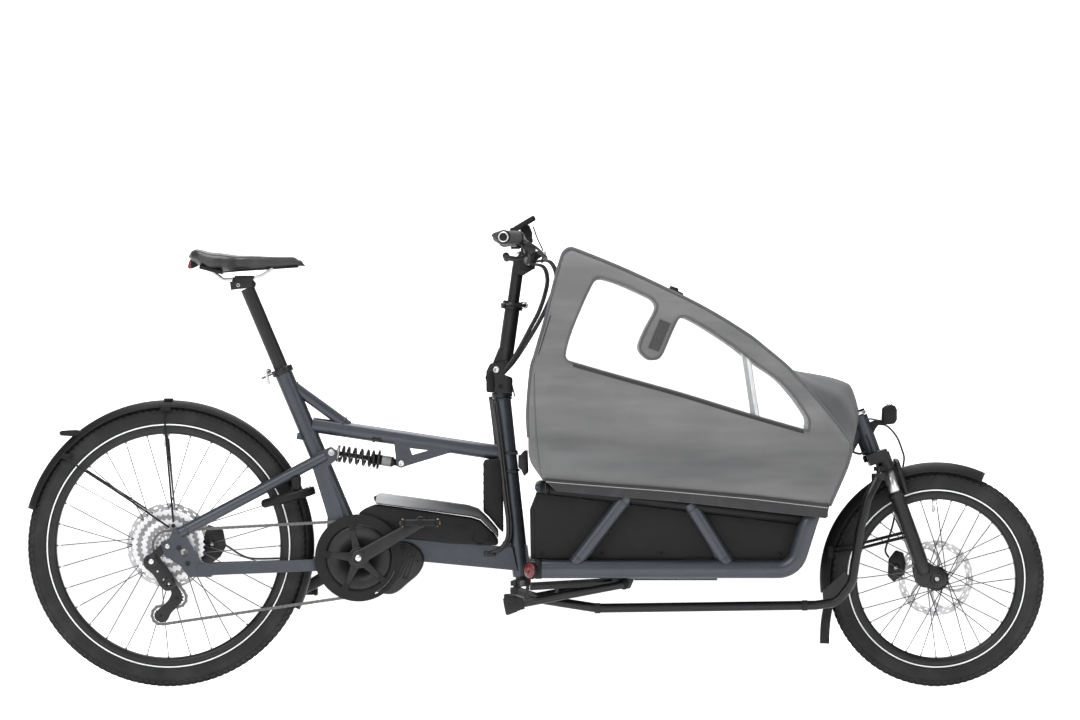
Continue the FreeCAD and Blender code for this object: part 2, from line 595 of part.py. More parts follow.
def rear_details():
    """Mudguard with stays and light stub, brake caliper and ring lock with its shackle."""
    node(fender("rear_fender", REAR_AXLE, "rear_fender_radius", -26, 165,
                [[Vector(-872, 85, 378), Vector(-1010, 60, 470), Vector(-1122, 30, 549)],
                 [Vector(-858, 85, 372), Vector(-874, 60, 595), Vector(-880, 30, 669)]]), "rear_fender")
    caliper = plate("rear_caliper_block", [(-800, 300), (-770, 290), (-736, 330), (-742, 372), (-778, 384),
                                           (-788, 352)], 60, 28, 6)
    node(cut("rear_caliper", caliper, block("rotor_slot", REAR_AXLE + Vector(0,
                                                                             size("rear_disc_offset") + 1,
                                                                             0),
                                            (215, 5, 215))), "rear_caliper")
    centre = Vector(-590, 0, 449)
    out = Vector(math.cos(math.radians(15)), 0, math.sin(math.radians(15)))
    normal = Vector(-out.z, 0, out.x)
    turn = Rotation(out, ACROSS, normal, "XYZ")
    ring_body = ring("lock_ring", centre - normal * 11, centre + normal * 11, 78, 54)
    mouth = block("lock_mouth", centre - out * 66, (60, 72, 30), turn)
    front = block("lock_front", centre + out * 81.2, (20, 80, 30), turn)
    race = doc.addObject("Part::Torus", "lock_race")
    race.Radius1 = 66
    race.Radius2 = 4.5
    race.Placement = Placement(centre, turn)
    trimmed = cut("ring_lock_trimmed", cut("ring_lock_open", ring_body, mouth), front)
    node(cut("ring_lock", trimmed, race), "ring_lock")
    bolt = doc.addObject("Part::Torus", "lock_shackle")
    bolt.Radius1 = 66
    bolt.Radius2 = 4
    bolt.Angle3 = 96
    bolt.Placement = Placement(centre, turn * Rotation(Vector(0, 0, 1), 44))
    node(bolt, "lock_shackle")


def fender(label, axle, radius, low_angle, high_angle, stay_routes):
    """Curved mudguard of shallow channel section with wire stays on both sides."""
    half = size("fender_width") / 2
    wall = size("fender_thickness")
    skirt = 14
    crown = size(radius)
    section = [(-half, crown - skirt), (-half, crown - 5), (-half + 12, crown), (half - 12, crown),
               (half, crown - 5),
               (half, crown - skirt), (half - wall, crown - skirt), (half - wall, crown - 5 - wall / 2),
               (half - 12, crown - wall), (-half + 12, crown - wall), (-half + wall, crown - 5 - wall / 2),
               (-half + wall, crown - skirt)]
    loop = [Vector(0, y, reach) for y, reach in section]
    face = Part.Face(Part.makePolygon(loop + loop[:1]))
    face.rotate(Vector(), ACROSS, 90 - low_angle)
    swept = face.revolve(Vector(), ACROSS, low_angle - high_angle)
    channel = doc.addObject("Part::Feature", label + "_channel")
    channel.Shape = swept
    channel.Placement = Placement(axle, Rotation())
    stays = []
    for index, route in enumerate(stay_routes):
        for side in (-1, 1):
            points = [Vector(p.x, side * p.y, p.z) for p in route]
            points[-1].y = side * (half + 3.2)
            stays.append(bent_bar(f"{label}_stay{index}_{side}", points, 60, 2.5))
    return group(label, [channel] + stays)


# ---------------------------------------------------------------- cargo frame, box and cover

def cargo_frame():
    """Side tubes that rise to the head tube, box rail, diagonals, floor tubes and stand lugs."""
    offset = size("side_tube_offset")
    height = size("side_tube_height")
    pieces = []
    for side in (-1, 1):
        route = [Vector(-12, side * offset, height), Vector(612, side * offset, height),
                 Vector(654, side * offset, 418), Vector(704, side * 96, 510), Vector(762, 0, 604)]
        pieces.append(bent_bar(f"side_tube{side}", route, [0, 50, 70, 60, 0], size("side_tube_radius")))
        for index, (foot, top) in enumerate((((96, 303), (218, 455)), ((456, 303), (368, 438)))):
            pieces.append(rod(f"diagonal{side}_{index}", Vector(foot[0], side * offset, foot[1] - 6),
                              Vector(top[0], side * offset, top[1]), "diagonal_radius"))
    rail = [Vector(664, -offset, 398), Vector(14, -offset, 476), Vector(14, offset, 476),
            Vector(664, offset, 398)]
    pieces.append(bent_bar("rail", rail, 34, size("rail_radius")))
    for index, x in enumerate((70, 330, 590)):
        pieces.append(cross_rod(f"floor_tube{index}", Vector(x, 0, height), -offset, offset,
                                "floor_tube_radius"))
    pieces.append(rod("head_tube", head_axis(556), head_axis(642), "head_tube_radius"))
    pieces.append(block("belly_plate", Vector(336, 0, 262), (196, 240, 14)))
    for side in (-1, 1):
        high = side * 66 + 6
        pieces.append(plate(f"stand_lug{side}", [(178, 268), (196, 234), (228, 234), (242, 268)], high, 12,
                            [0, 8, 8, 0]))
        pieces.append(rod(f"lug_bridge{side}", Vector(180, side * 66, 266), Vector(300, side * 66, 266), 7))
    solid = fused("cargo_frame_solid", pieces)
    bores = fused("cargo_frame_bores", [
        rod("head_bore", head_axis(520), head_axis(670), "head_bore"),
        cross_rod("stand_bore", STAND, -90, 90, "stand_radius + running_gap")])
    return node(cut("cargo_frame", solid, bores), "cargo_frame")


def box():
    """Floor, side, front and rear panels, bench board and the bench pads."""
    offset = size("panel_offset")
    thick = size("panel_thickness")
    side_outline = [(-8, 312), (-10, 420), (6, 462), (652, 384), (612, 306), (-6, 306)]
    panels = [
        block("floor_panel", Vector(316, 0, 302.5), (570, 2 * offset - 1, "panel_thickness")),
        plate("side_panel_left", side_outline, offset + thick, "panel_thickness"),
        plate("side_panel_right", side_outline, -offset, "panel_thickness"),
        plate("rear_panel", [(-8, 312), (-10, 420), (4, 456), (9, 456), (-4, 420), (-3, 312)], offset - 0.5,
              2 * offset - 1),
        plate("front_panel_sheet", [(606, 306), (646, 383), (652, 383), (612, 306)], offset - 0.5,
              2 * offset - 1),
        plate("bench_board", [(60, 306), (60, 424), (330, 424), (330, 414), (70, 414), (70, 306)],
              offset - 10,
              2 * offset - 20),
    ]
    node(group("box_panels", panels), "box_panels")
    pads = [plate("seat_pad", [(70, 425), (70, 468), (335, 470), (335, 425)], 190, 380, [4, 14, 14, 8]),
            plate("back_pad", [(30, 500), (22, 640), (34, 742), (70, 742), (76, 640), (76, 500)], 185, 370,
                  [12, 0, 14, 14, 0, 12])]
    node(group("bench_pads", pads), "bench_pads")


COVER = [(20, 494), (-12, 542), (-15, 600), (-18, 657), (-8, 754), (2, 790), (27, 877), (50, 969),
         (63, 1010),
         (81, 1042), (130, 1030), (201, 997), (301, 951), (347, 930), (403, 900), (452, 872), (500, 841),
         (549, 803), (600, 768), (649, 751), (700, 736), (746, 719), (770, 677), (777, 650), (757, 560),
         (736, 519),
         (720, 483), (694, 434), (688, 405), (338, 445), (99, 468)]
WINDOW = [(73, 790), (148, 965), (209, 952), (284, 915), (288, 897), (265, 851), (250, 810), (262, 790),
          (283, 780),
          (301, 790), (334, 866), (355, 877), (408, 851), (470, 810), (516, 774), (575, 733), (613, 687),
          (646, 640),
          (640, 618), (89, 772)]


def cover():
    """Rain cover as one thin shell open at the bottom, its clear windows and the poles inside."""
    thick = size("cover_thickness")
    draft = math.tan(math.radians(size("cover_draft")))

    def prism(outline):
        loop = [Vector(x, -400, z) for x, z in outline]
        return Part.Face(Part.makePolygon(loop + loop[:1])).extrude(Vector(0, 800, 0))

    def wedge(inset):
        low = size("cover_half_width") - inset + 140 * draft
        high = size("cover_half_width") - inset - 660 * draft
        loop = [Vector(-200, -low, 300), Vector(-200, low, 300), Vector(-200, high, 1100),
                Vector(-200, -high, 1100)]
        return Part.Face(Part.makePolygon(loop + loop[:1])).extrude(Vector(1100, 0, 0))

    face = Part.Face(Part.makePolygon([Vector(x, 0, z) for x, z in COVER + COVER[:1]]))
    inner_face = face.makeOffset2D(-thick, join=2)
    inner = inner_face.extrude(Vector(0, 400, 0)).fuse(inner_face.extrude(Vector(0, -400, 0)))
    under = prism([(-60, 300), (-60, 491.5), (30, 491.5), (100, 484), (340, 460), (678, 420), (678, 300)])
    outer_solid = prism(COVER).common(wedge(0))
    inner_solid = inner.fuse(under).common(wedge(thick))
    mouth = Part.makeBox(120, 210, 200, Vector(690, -105, 472))
    panes = prism(WINDOW)
    shell = outer_solid.cut(inner_solid).cut(mouth)
    side_walls = wedge(0).cut(wedge(thick))
    opening = panes.common(side_walls)
    skin = doc.addObject("Part::Feature", "rain_cover")
    skin.Shape = shell.cut(opening).removeSplitter()
    node(skin, "rain_cover")
    glass = doc.addObject("Part::Feature", "cover_windows")
    glass.Shape = panes.common(wedge(1.2).cut(wedge(2.4)))
    node(glass, "cover_windows")
    hoops = []
    for index, (foot, top) in enumerate((((30, 500), (92, 1010)), ((560, 420), (500, 815)))):
        half_low = size("cover_half_width") - (foot[1] - 440) * draft - thick - 9
        half_high = size("cover_half_width") - (top[1] - 440) * draft - thick - 9
        hoops.append(bent_bar(f"hoop{index}", [Vector(foot[0], -half_low, foot[1]),
                                               Vector(top[0], -half_high, top[1]),
                                               Vector(top[0], half_high, top[1]),
                                               Vector(foot[0], half_low, foot[1])],
                              40, size("pole_radius")))
    node(group("cover_poles", hoops), "cover_poles")


# ---------------------------------------------------------------- steering

def steering():
    """Shaft in the column, stem that tilts and telescopes, bar with controls, and the tie rod."""
    low = column_axis(247)
    ball = ROD_PIVOT + ROD_HINGE * 18
    knuckle = plate("knuckle", [(-114, 700), (-50, 697), (-52, 735), (-70, 742), (-74, 770), (-104, 770),
                                (-114, 750)],
                    24, 48, [6, 6, 4, 0, 4, 10, 8])
    knuckle_gap = block("knuckle_gap", Vector(-90, 0, 752), (62, 28, 46))
    arm = fused("steering_shaft_solid", [
        rod("shaft", low, column_axis(708), "shaft_radius"),
        rod("shaft_foot", column_axis(238), column_axis(256), 22),
        bar_between("lower_arm", low, ball, 12, 22),
        rod("lower_stud", ROD_PIVOT + ROD_HINGE * 24, ROD_PIVOT - ROD_HINGE * 6, "ball_stud_radius"),
        cut("knuckle_clevis", knuckle, knuckle_gap)])
    hinge = Vector(-90, 0, 754)
    node(cut("steering_shaft", arm, cross_rod("tilt_bore", hinge, -40, 40, 5.05)), "steering_shaft")
    foot = Vector(-71, 0, 762)
    crown = Vector(-38, 0, 1000)
    along = (crown - foot).normalize()
    tube = fused("stem_tube_solid", [
        rod("stem_outer", foot + along * 14, foot + along * 150, "stem_radius"),
        plate("stem_lug", [(-98, 744), (-82, 744), (-52, 780), (-56, 800), (-82, 800), (-100, 762)], 13.5,
              27, 5),
        cross_rod("tilt_pin", hinge, -26, 26, 5),
        rod("height_clamp", foot + along * 136, foot + along * 156, "stem_radius + 6")])
    node(cut("stem_tube", tube, rod("stem_bore_tool", foot + along * 34, foot + along * 170, "stem_bore")),
         "stem_tube")
    clamp = foot + along * 146
    node(fused("height_lever", [
        cross_rod("height_pin", clamp + Vector(29, 0, 0), -16, 16, 4),
        bar_between("height_blade", shifted(clamp + Vector(29, 0, 0), -20),
                    shifted(clamp + Vector(-20, 0, -4), -36),
                    8, 5)]), "height_lever")
    bar_centre = Vector(-14, 0, 1012)
    half = size("bar_half_width")
    route = [Vector(-72, -half, 1066), Vector(-34, -186, 1066), Vector(-8, -112, 1034),
             bar_centre - ACROSS * 62,
             bar_centre + ACROSS * 62, Vector(-8, 112, 1034), Vector(-34, 186, 1066),
             Vector(-72, half, 1066)]
    bends = [0, 60, 50, 50, 50, 50, 60, 0]
    bar = node(bent_bar("handlebar", route, bends, size("bar_radius")), "handlebar")
    post = fused("bar_post_solid", [
        rod("post_inner", foot + along * 58, crown, "post_radius"),
        plate("bar_clamp", [(-52, 985), (-50, 1012), (-34, 1032), (-6, 1032), (6, 1012), (-4, 992),
                            (-26, 978)], 24, 48,
              6)])
    node(cut("bar_post", post, bar), "bar_post")
    controls(half)


def controls(half):
    """Grips, lever bodies, brake levers, thumb shifter, display and cables on the handlebar."""
    tip = Vector(-72, -half, 1066)
    root = Vector(-34, -186, 1066)
    along = (tip - root).normalize()

    def mirrored(point, side):
        return Vector(point.x, -side * point.y, point.z)

    grips, bodies = [], []
    for side in (-1, 1):
        far = mirrored(tip, side)
        near = mirrored(root, side)
        out = (far - near).normalize()
        grips.append(ring(f"grip{side}", near + out * 34, far, "grip_radius", "bar_radius"))
        clamp = near + out * 12
        bodies.append(fused(f"lever_body{side}", [
            ring(f"lever_clamp{side}", clamp, clamp + out * 14, "bar_radius + 5", "bar_radius"),
            block(f"reservoir{side}", clamp + out * 2 + Vector(26, 0, -26), (30, 34, 16),
                  Rotation(ACROSS, 30)),
            bar_between(f"lever_neck{side}", clamp + out * 6 + Vector(8, 0, -14),
                        clamp + out * 6 + Vector(24, 0, -26), 10,
                        10)]))
    node(group("grips", grips), "grips")
    node(group("lever_bodies", bodies), "lever_bodies")
    for side, label in ((-1, "brake_lever_right"), (1, "brake_lever_left")):
        start = mirrored(Vector(-22, -206, 1023), side)
        bend = mirrored(Vector(-26, -226, 1020), side)
        end = mirrored(Vector(-66, -300, 1022), side)
        pin = mirrored(Vector(0.95, -0.25, 0), side).normalize() * 7
        node(fused(label, [bar_between(label + "_root", start, bend, 10, 8),
                           bar_between(label + "_blade", bend, end, 10, 6),
                           rod(label + "_pin", start - pin, start + pin, 3),
                           rod(label + "_tip", end - Vector(0, 0, 6), end + Vector(0, 0, 6), 7)]), label)
    shifter = root + along * 8 + Vector(-10, 0, -24)
    node(fused("shift_lever", [block("paddle", shifter, (22, 9, 6)),
                               rod("paddle_boss", shifter + Vector(10, 0, 0),
                                                                        shifter + Vector(10, 0, 8), 5)]),
         "shift_lever")
    node(fused("display", [block("screen", Vector(-27, 0, 1099), (70, 78, 14), Rotation(ACROSS, -31)),
                           plate("display_foot", [(-34, 1093), (-12, 1100), (-6, 1033), (-32, 1033)], 9,
                                 18)]), "display")
    cables = []
    for index, (y, points) in enumerate((
            (-22, [(16, 1000), (26, 968), (14, 935), (-2, 895), (-14, 850), (-34, 808)]),
            (22, [(16, 1012), (34, 985), (32, 950), (16, 905), (-2, 860), (-26, 812)]))):
        route = [Vector(x, y, z) for x, z in points]
        cables.append(bent_bar(f"bar_cable{index}", route, 24, size("cable_radius")))
    node(group("bar_cables", cables), "bar_cables")


def tie_rod():
    """Steering rod from the shaft's arm along the frame and up beside the wheel to the fork's arm."""
    side = -size("rod_offset")
    near = -size("arm_length")
    route = [Vector(-43, near, 230), Vector(20, near - 28, 210), Vector(150, side, 190),
             Vector(665, side, 197),
             Vector(716, side, 204), Vector(752, side, 250), Vector(771, side, 376),
             Vector(788, side + 6, 446),
             Vector(816, near - 2, 500)]
    radius = size("rod_radius")
    tube = bent_bar("rod_tube", route, [0, 40, 120, 0, 40, 60, 120, 40, 0], radius)
    pieces = [tube,
              plate("rod_gusset", [(684, 202), (682, 230), (735, 276), (752, 262), (730, 220)], side + 3,
                    6),
              rod("rear_eye_boss", ROD_PIVOT - ROD_HINGE * 9, ROD_PIVOT + ROD_HINGE * 9, 13),
              rod("front_eye_boss", Vector(816, near, 492), Vector(816, near, 508), 16)]
    bores = fused("rod_bores", [
        rod("rear_eye_bore", ROD_PIVOT - ROD_HINGE * 15, ROD_PIVOT + ROD_HINGE * 15,
            "ball_stud_radius + running_gap"),
        rod("front_eye_bore", Vector(816, near, 470), Vector(816, near, 530), "rod_eye_radius")])
    node(cut("tie_rod", fused("tie_rod_solid", pieces), bores), "tie_rod")


# ---------------------------------------------------------------- fork

def fork():
    """Crown with stanchions and steerer, sliding lowers, fender, caliper and headlight."""
    leg = size("leg_offset")
    rake = HEAD_FORWARD * size("leg_rake")
    crown_pieces = [rod("steerer", head_axis(545), head_axis(656), "steerer_radius"),
                    rod("steerer_cap", head_axis(643.5), head_axis(656), 20),
                    rod("crown_boss", head_axis(540), head_axis(555), 24),
                    block("crown_bridge", head_axis(548) + rake * 0.5 + HEAD_DOWN * 6,
                          (50, 2 * leg + 40, 26),
                          Rotation(ACROSS, size("head_lean") * -1))]
    for side in (-1, 1):
        top = shifted(head_axis(548) + rake, side * leg)
        crown_pieces.append(rod(f"stanchion{side}", top, top + HEAD_DOWN * 150, "stanchion_radius"))
        crown_pieces.append(rod(f"stanchion_clamp{side}", top, top + HEAD_DOWN * 40,
                                "stanchion_radius + 5"))
    arm_end = Vector(816, -size("arm_length"), 514)
    crown_pieces.append(bar_between("upper_arm", Vector(834, -leg, 520), arm_end + Vector(0, 0, 5), 10, 24))
    crown_pieces.append(rod("upper_stud", arm_end + Vector(0, 0, 8), arm_end - Vector(0, 0, 22),
                            "ball_stud_radius"))
    node(fused("fork_crown", crown_pieces), "fork_crown")
    lowers = []
    for side in (-1, 1):
        top = shifted(head_axis(548) + rake, side * leg) + HEAD_DOWN * 98
        foot = shifted(head_axis(262) + rake, side * leg)
        leg_rod = rod(f"lower_leg{side}", top, foot, "lower_radius")
        bore = rod(f"lower_bore{side}", top - HEAD_DOWN * 4, top + HEAD_DOWN * 100,
                   "stanchion_radius + running_gap")
        high = max(side * leg - side * 4, side * leg + side * 4)
        dropout = plate(f"fork_dropout{side}", [(900, 290), (935, 292), (976, 262), (970, 240), (945, 238),
                                                (908, 246)],
                        high, 8, 8)
        lowers.append(cut(f"lower_bored{side}", fused(f"lower_solid{side}", [leg_rod, dropout]), bore))
    arch_mid = shifted(head_axis(548) + rake + HEAD_DOWN * 110, 0) + HEAD_FORWARD * 28
    arch_side = Vector(arch_mid.x, leg, arch_mid.z) - HEAD_FORWARD * 4
    top_mid = arch_mid - HEAD_DOWN * 76
    arch = bent_bar("fork_arch", [shifted(arch_side, -leg), Vector(top_mid.x, -46, top_mid.z),
                                  Vector(top_mid.x, 46, top_mid.z), arch_side], 24, 7)
    axle_bore = cross_rod("fork_axle_bore", FRONT_AXLE, -80, 80, "axle_radius + running_gap")
    stanchion_room = group("stanchion_room", [
        rod(f"arch_relief{side}", shifted(head_axis(548) + rake, side * leg) + HEAD_DOWN * 20,
            shifted(head_axis(548) + rake, side * leg) + HEAD_DOWN * 150, "stanchion_radius + running_gap")
        for side in (-1, 1)])
    solid = fused("fork_lowers_solid", lowers + [arch])
    node(cut("fork_lowers", cut("fork_lowers_room", solid, stanchion_room), axle_bore), "fork_lowers")
    node(fender("front_fender", FRONT_AXLE, "front_fender_radius", 65, 187,
                [[Vector(920, 78.5, 262), Vector(850, 70, 305), Vector(725, 30, 402)]]), "front_fender")
    caliper = plate("front_caliper_block", [(843, 262), (858, 247), (884, 268), (880, 318), (862, 324),
                                            (844, 300)],
                    49, 24, 5)
    node(cut("front_caliper", caliper, block("front_rotor_slot",
                                             FRONT_AXLE + Vector(0, size("front_disc_offset") + 1, 0),
                                             (190, 5, 190))), "front_caliper")
    lamp = plate("lamp_body", [(828, 626), (832, 664), (846, 671), (862, 662), (864, 634), (850, 624)], 24,
                 48, 5)
    bracket = fused("lamp_solid", [lamp, bar_between("lamp_arm", Vector(796, 0, 668), Vector(832, 0, 645),
                                                     8, 18)])
    node(bracket, "headlight")


def stand():
    """Two-leg stand folded back under the box."""
    half = size("stand_half_width")
    pieces = [cross_rod("stand_bar", STAND, -half, half, "stand_radius")]
    feet = []
    for side in (-1, 1):
        y = side * half
        foot = Vector(-50, y, 198)
        heel = foot + (STAND - Vector(-50, 0, 198)).normalize() * -20
        pieces.append(rod(f"leg{side}", shifted(STAND, y), foot, "leg_radius"))
        pieces.append(bar_between(f"leg_brace{side}", Vector(196, y, 250), Vector(-10, y, 238), 10, 10))
        pieces.append(bar_between(f"brace_strut{side}", Vector(50, y, 216), Vector(56, y, 242), 8, 8))
        pieces.append(bar_between(f"brace_end{side}", Vector(-14, y, 240), Vector(-22, y, 204), 8, 8))
        boot = doc.addObject("Part::Cone", f"foot{side}")
        boot.Radius1 = 13
        boot.Radius2 = 20
        boot.Height = 20
        boot.Placement = Placement(foot, Rotation(Vector(0, 0, 1), heel - foot))
        feet.append(boot)
    legs = fused("stand_legs", pieces)
    node(group("kickstand", [legs] + feet), "kickstand")


def bearings_and_small(cargo):
    """Bearing rings, rear reflectors and the hoses fixed to the frame."""
    rings = []
    for index, height in enumerate((264, 680)):
        low, high = column_axis(height), column_axis(height + 9)
        rings.append(ring(f"column_bearing{index}", low, high, "column_bore", "shaft_radius + running_gap"))
    for index, height in enumerate((558, 631)):
        low, high = head_axis(height), head_axis(height + 10)
        rings.append(ring(f"head_bearing{index}", low, high, "head_bore", "steerer_radius + running_gap"))
    node(group("bearings", rings), "bearings")
    reflectors = []
    for side in (-1, 1):
        face = Vector(-11, side * 262, 281)
        outward = Vector(-0.75, side * 0.66, 0)
        lens = rod(f"lens{side}", face - outward * 12, face + outward * 1.5, 19)
        reflectors.append(cut(f"reflector{side}", lens, cargo))
    node(group("reflectors", reflectors), "reflectors")
    hoses = bent_bar("frame_hoses", [Vector(-104, -27, 690), Vector(-94, -27, 610), Vector(-88, -27, 540),
                                     Vector(-92, -27, 470),
                                    Vector(-110, -27, 414)], 60, 6)
    node(hoses, "frame_hoses")


wheels()
cargo = cargo_frame()
frame = rear_frame(cargo)
motor_and_battery(frame)
seat(frame)
swingarm()
shock()
drivetrain()
rear_details()
box()
cover()
steering()
tie_rod()
fork()
stand()
bearings_and_small(cargo)

doc.recompute()
for item in doc.Objects:
    if "Invalid" in item.State or "Error" in item.State:
        raise RuntimeError(f"{item.Name} failed: {item.State}")
for piece in nodes:
    if piece.Shape.isNull() or not piece.Shape.isValid():
        raise RuntimeError(f"{piece.Label} has no valid shape")

os.makedirs("parts", exist_ok=True)
for piece in nodes:
    piece.Shape.exportStep(f"parts/{piece.Label}.step")
print(len(nodes), "sub-parts")
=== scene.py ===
import json
import math
import random

import bpy
import bmesh
from mathutils import Matrix, Vector


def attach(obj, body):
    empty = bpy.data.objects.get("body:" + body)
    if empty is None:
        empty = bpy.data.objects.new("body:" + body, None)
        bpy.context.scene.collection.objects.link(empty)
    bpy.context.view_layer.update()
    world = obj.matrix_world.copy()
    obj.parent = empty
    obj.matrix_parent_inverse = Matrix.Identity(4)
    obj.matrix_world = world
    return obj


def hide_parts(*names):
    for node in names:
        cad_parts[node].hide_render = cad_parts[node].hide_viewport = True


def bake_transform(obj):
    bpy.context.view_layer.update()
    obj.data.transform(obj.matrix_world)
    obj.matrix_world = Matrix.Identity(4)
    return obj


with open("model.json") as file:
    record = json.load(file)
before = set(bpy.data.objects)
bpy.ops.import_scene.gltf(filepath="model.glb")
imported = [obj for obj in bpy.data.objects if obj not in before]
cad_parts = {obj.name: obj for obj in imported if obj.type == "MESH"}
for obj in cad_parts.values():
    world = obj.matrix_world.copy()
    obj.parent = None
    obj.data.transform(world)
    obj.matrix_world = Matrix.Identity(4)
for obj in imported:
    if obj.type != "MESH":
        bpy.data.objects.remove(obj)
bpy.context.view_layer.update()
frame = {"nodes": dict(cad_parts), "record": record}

TAU = 2 * math.pi
random.seed(7)


# ---------------------------------------------------------------- studio

def studio():
    """Camera square to the drive side, pale round floor with a pale wall around it, large soft lights."""
    scene = bpy.context.scene
    camera = bpy.data.cameras.new("camera")
    camera.lens = 336
    camera.sensor_width = 36
    camera.clip_end = 90
    rig = bpy.data.objects.new("camera", camera)
    rig.location = (0.014, -24, 0.777)
    rig.rotation_euler = (math.radians(90), 0, 0)
    scene.collection.objects.link(rig)
    scene.camera = rig
    ring = [(30 * math.cos(TAU * k / 96), 30 * math.sin(TAU * k / 96)) for k in range(96)]
    floor = mesh_from("floor", [(x, y, 0) for x, y in ring], [tuple(range(96))])
    wall = mesh_from("wall", [(x, y, z) for z in (0, 5) for x, y in ring],
                     [(k, (k + 1) % 96, 96 + (k + 1) % 96, 96 + k) for k in range(96)])
    for mesh, glow in ((floor, 0.70), (wall, 0.88)):
        paper = bpy.data.materials.new("studio_paper")
        paper.use_nodes = True
        shader = paper.node_tree.nodes["Principled BSDF"]
        shader.inputs["Base Color"].default_value = (0.93, 0.93, 0.93, 1)
        shader.inputs["Roughness"].default_value = 0.9
        shader.inputs["Emission Color"].default_value = (1, 1, 1, 1)
        shader.inputs["Emission Strength"].default_value = glow
        mesh.materials.append(paper)
        stand = bpy.data.objects.new(mesh.name, mesh)
        scene.collection.objects.link(stand)
    world = bpy.data.worlds.new("studio")
    world.use_nodes = True
    world.node_tree.nodes["Background"].inputs["Color"].default_value = (1, 1, 1, 1)
    world.node_tree.nodes["Background"].inputs["Strength"].default_value = 0.30
    scene.world = world
    scene.view_settings.view_transform = "Standard"
    for name, place, aim, wide, power in (
            ("key", (-2.5, -5, 4.5), (0, 0, 0.5), 3.5, 230),
            ("fill", (4.5, -4, 3.0), (0.3, 0, 0.5), 2.5, 60),
            ("top", (0, 0.5, 5.0), (0, 0, 0), 3.0, 260),
            ("back", (0, 3.5, 3.6), (0, 0, 0.6), 3.0, 90)):
        lamp = bpy.data.lights.new(name, "AREA")
        lamp.shape = "SQUARE"
        lamp.size = wide
        lamp.energy = power
        light = bpy.data.objects.new(name, lamp)
        light.location = place
        light.rotation_euler = (Vector(aim) - Vector(place)).to_track_quat("-Z", "Y").to_euler()
        scene.collection.objects.link(light)


# ---------------------------------------------------------------- materials

class Finish:
    """Builds one node material: a Principled shader with layered colour, roughness and bump."""

    def __init__(self, name, color, rough=0.5, metal=0.0, **sockets):
        self.material = bpy.data.materials.new(name)
        self.material.use_nodes = True
        self.tree = self.material.node_tree
        self.shader = self.tree.nodes["Principled BSDF"]
        self.color = (*color, 1)
        self.shader.inputs["Base Color"].default_value = self.color
        self.shader.inputs["Roughness"].default_value = rough
        self.shader.inputs["Metallic"].default_value = metal
        for socket, value in sockets.items():
            self.shader.inputs[socket.replace("_", " ")].default_value = value
        self.rough = rough
        self.place = self.tree.nodes.new("ShaderNodeTexCoord").outputs["Object"]
        self.normal = None
        self.tint = None

    def link(self, a, b):
        self.tree.links.new(a, b)

    def noise(self, scale, detail=3, rough=0.55, stretch=None):
        node = self.tree.nodes.new("ShaderNodeTexNoise")
        node.inputs["Scale"].default_value = scale
        node.inputs["Detail"].default_value = detail
        node.inputs["Roughness"].default_value = rough
        self.link(self.mapped(stretch), node.inputs["Vector"])
        return node.outputs["Fac"]

    def mapped(self, stretch):
        if not stretch:
            return self.place
        node = self.tree.nodes.new("ShaderNodeMapping")
        node.inputs["Scale"].default_value = stretch
        self.link(self.place, node.inputs["Vector"])
        return node.outputs["Vector"]

    def voronoi(self, scale, feature="F1"):
        node = self.tree.nodes.new("ShaderNodeTexVoronoi")
        node.feature = feature
        node.inputs["Scale"].default_value = scale
        self.link(self.place, node.inputs["Vector"])
        return node.outputs["Distance"]

    def wave(self, scale, direction, distortion=0.0):
        node = self.tree.nodes.new("ShaderNodeTexWave")
        node.wave_type = "BANDS"
        node.bands_direction = direction
        node.inputs["Scale"].default_value = scale
        node.inputs["Distortion"].default_value = distortion
        self.link(self.place, node.inputs["Vector"])
        return node.outputs["Fac"]

    def remap(self, value, low, high, to_low=0.0, to_high=1.0):
        node = self.tree.nodes.new("ShaderNodeMapRange")
        node.inputs["From Min"].default_value = low
        node.inputs["From Max"].default_value = high
        node.inputs["To Min"].default_value = to_low
        node.inputs["To Max"].default_value = to_high
        self.link(value, node.inputs["Value"])
        return node.outputs["Result"]

    def weave(self, scale, first, second, distortion=0.4):
        node = self.tree.nodes.new("ShaderNodeMath")
        node.operation = "MULTIPLY"
        self.link(self.wave(scale, first, distortion), node.inputs[0])
        self.link(self.wave(scale, second, distortion), node.inputs[1])
        return node.outputs[0]

    def along_x(self):
        node = self.tree.nodes.new("ShaderNodeSeparateXYZ")
        self.link(self.place, node.inputs["Vector"])
        return node.outputs["X"]

    def paint(self, amount, color):
        """Mixes a further colour over the base where amount is high."""
        node = self.tree.nodes.new("ShaderNodeMix")
        node.data_type = "RGBA"
        self.link(amount, node.inputs["Factor"])
        if self.tint is None:
            node.inputs["A"].default_value = self.color
        else:
            self.link(self.tint, node.inputs["A"])
        node.inputs["B"].default_value = (*color, 1)
        self.tint = node.outputs["Result"]
        self.link(self.tint, self.shader.inputs["Base Color"])
        return self

    def gloss(self, amount, low, high):
        self.link(self.remap(amount, 0, 1, low, high), self.shader.inputs["Roughness"])
        return self

    def bump(self, height, distance, strength=1.0):
        node = self.tree.nodes.new("ShaderNodeBump")
        node.inputs["Distance"].default_value = distance
        node.inputs["Strength"].default_value = strength
        self.link(height, node.inputs["Height"])
        if self.normal is not None:
            self.link(self.normal, node.inputs["Normal"])
        self.normal = node.outputs["Normal"]
        self.link(self.normal, self.shader.inputs["Normal"])
        return self


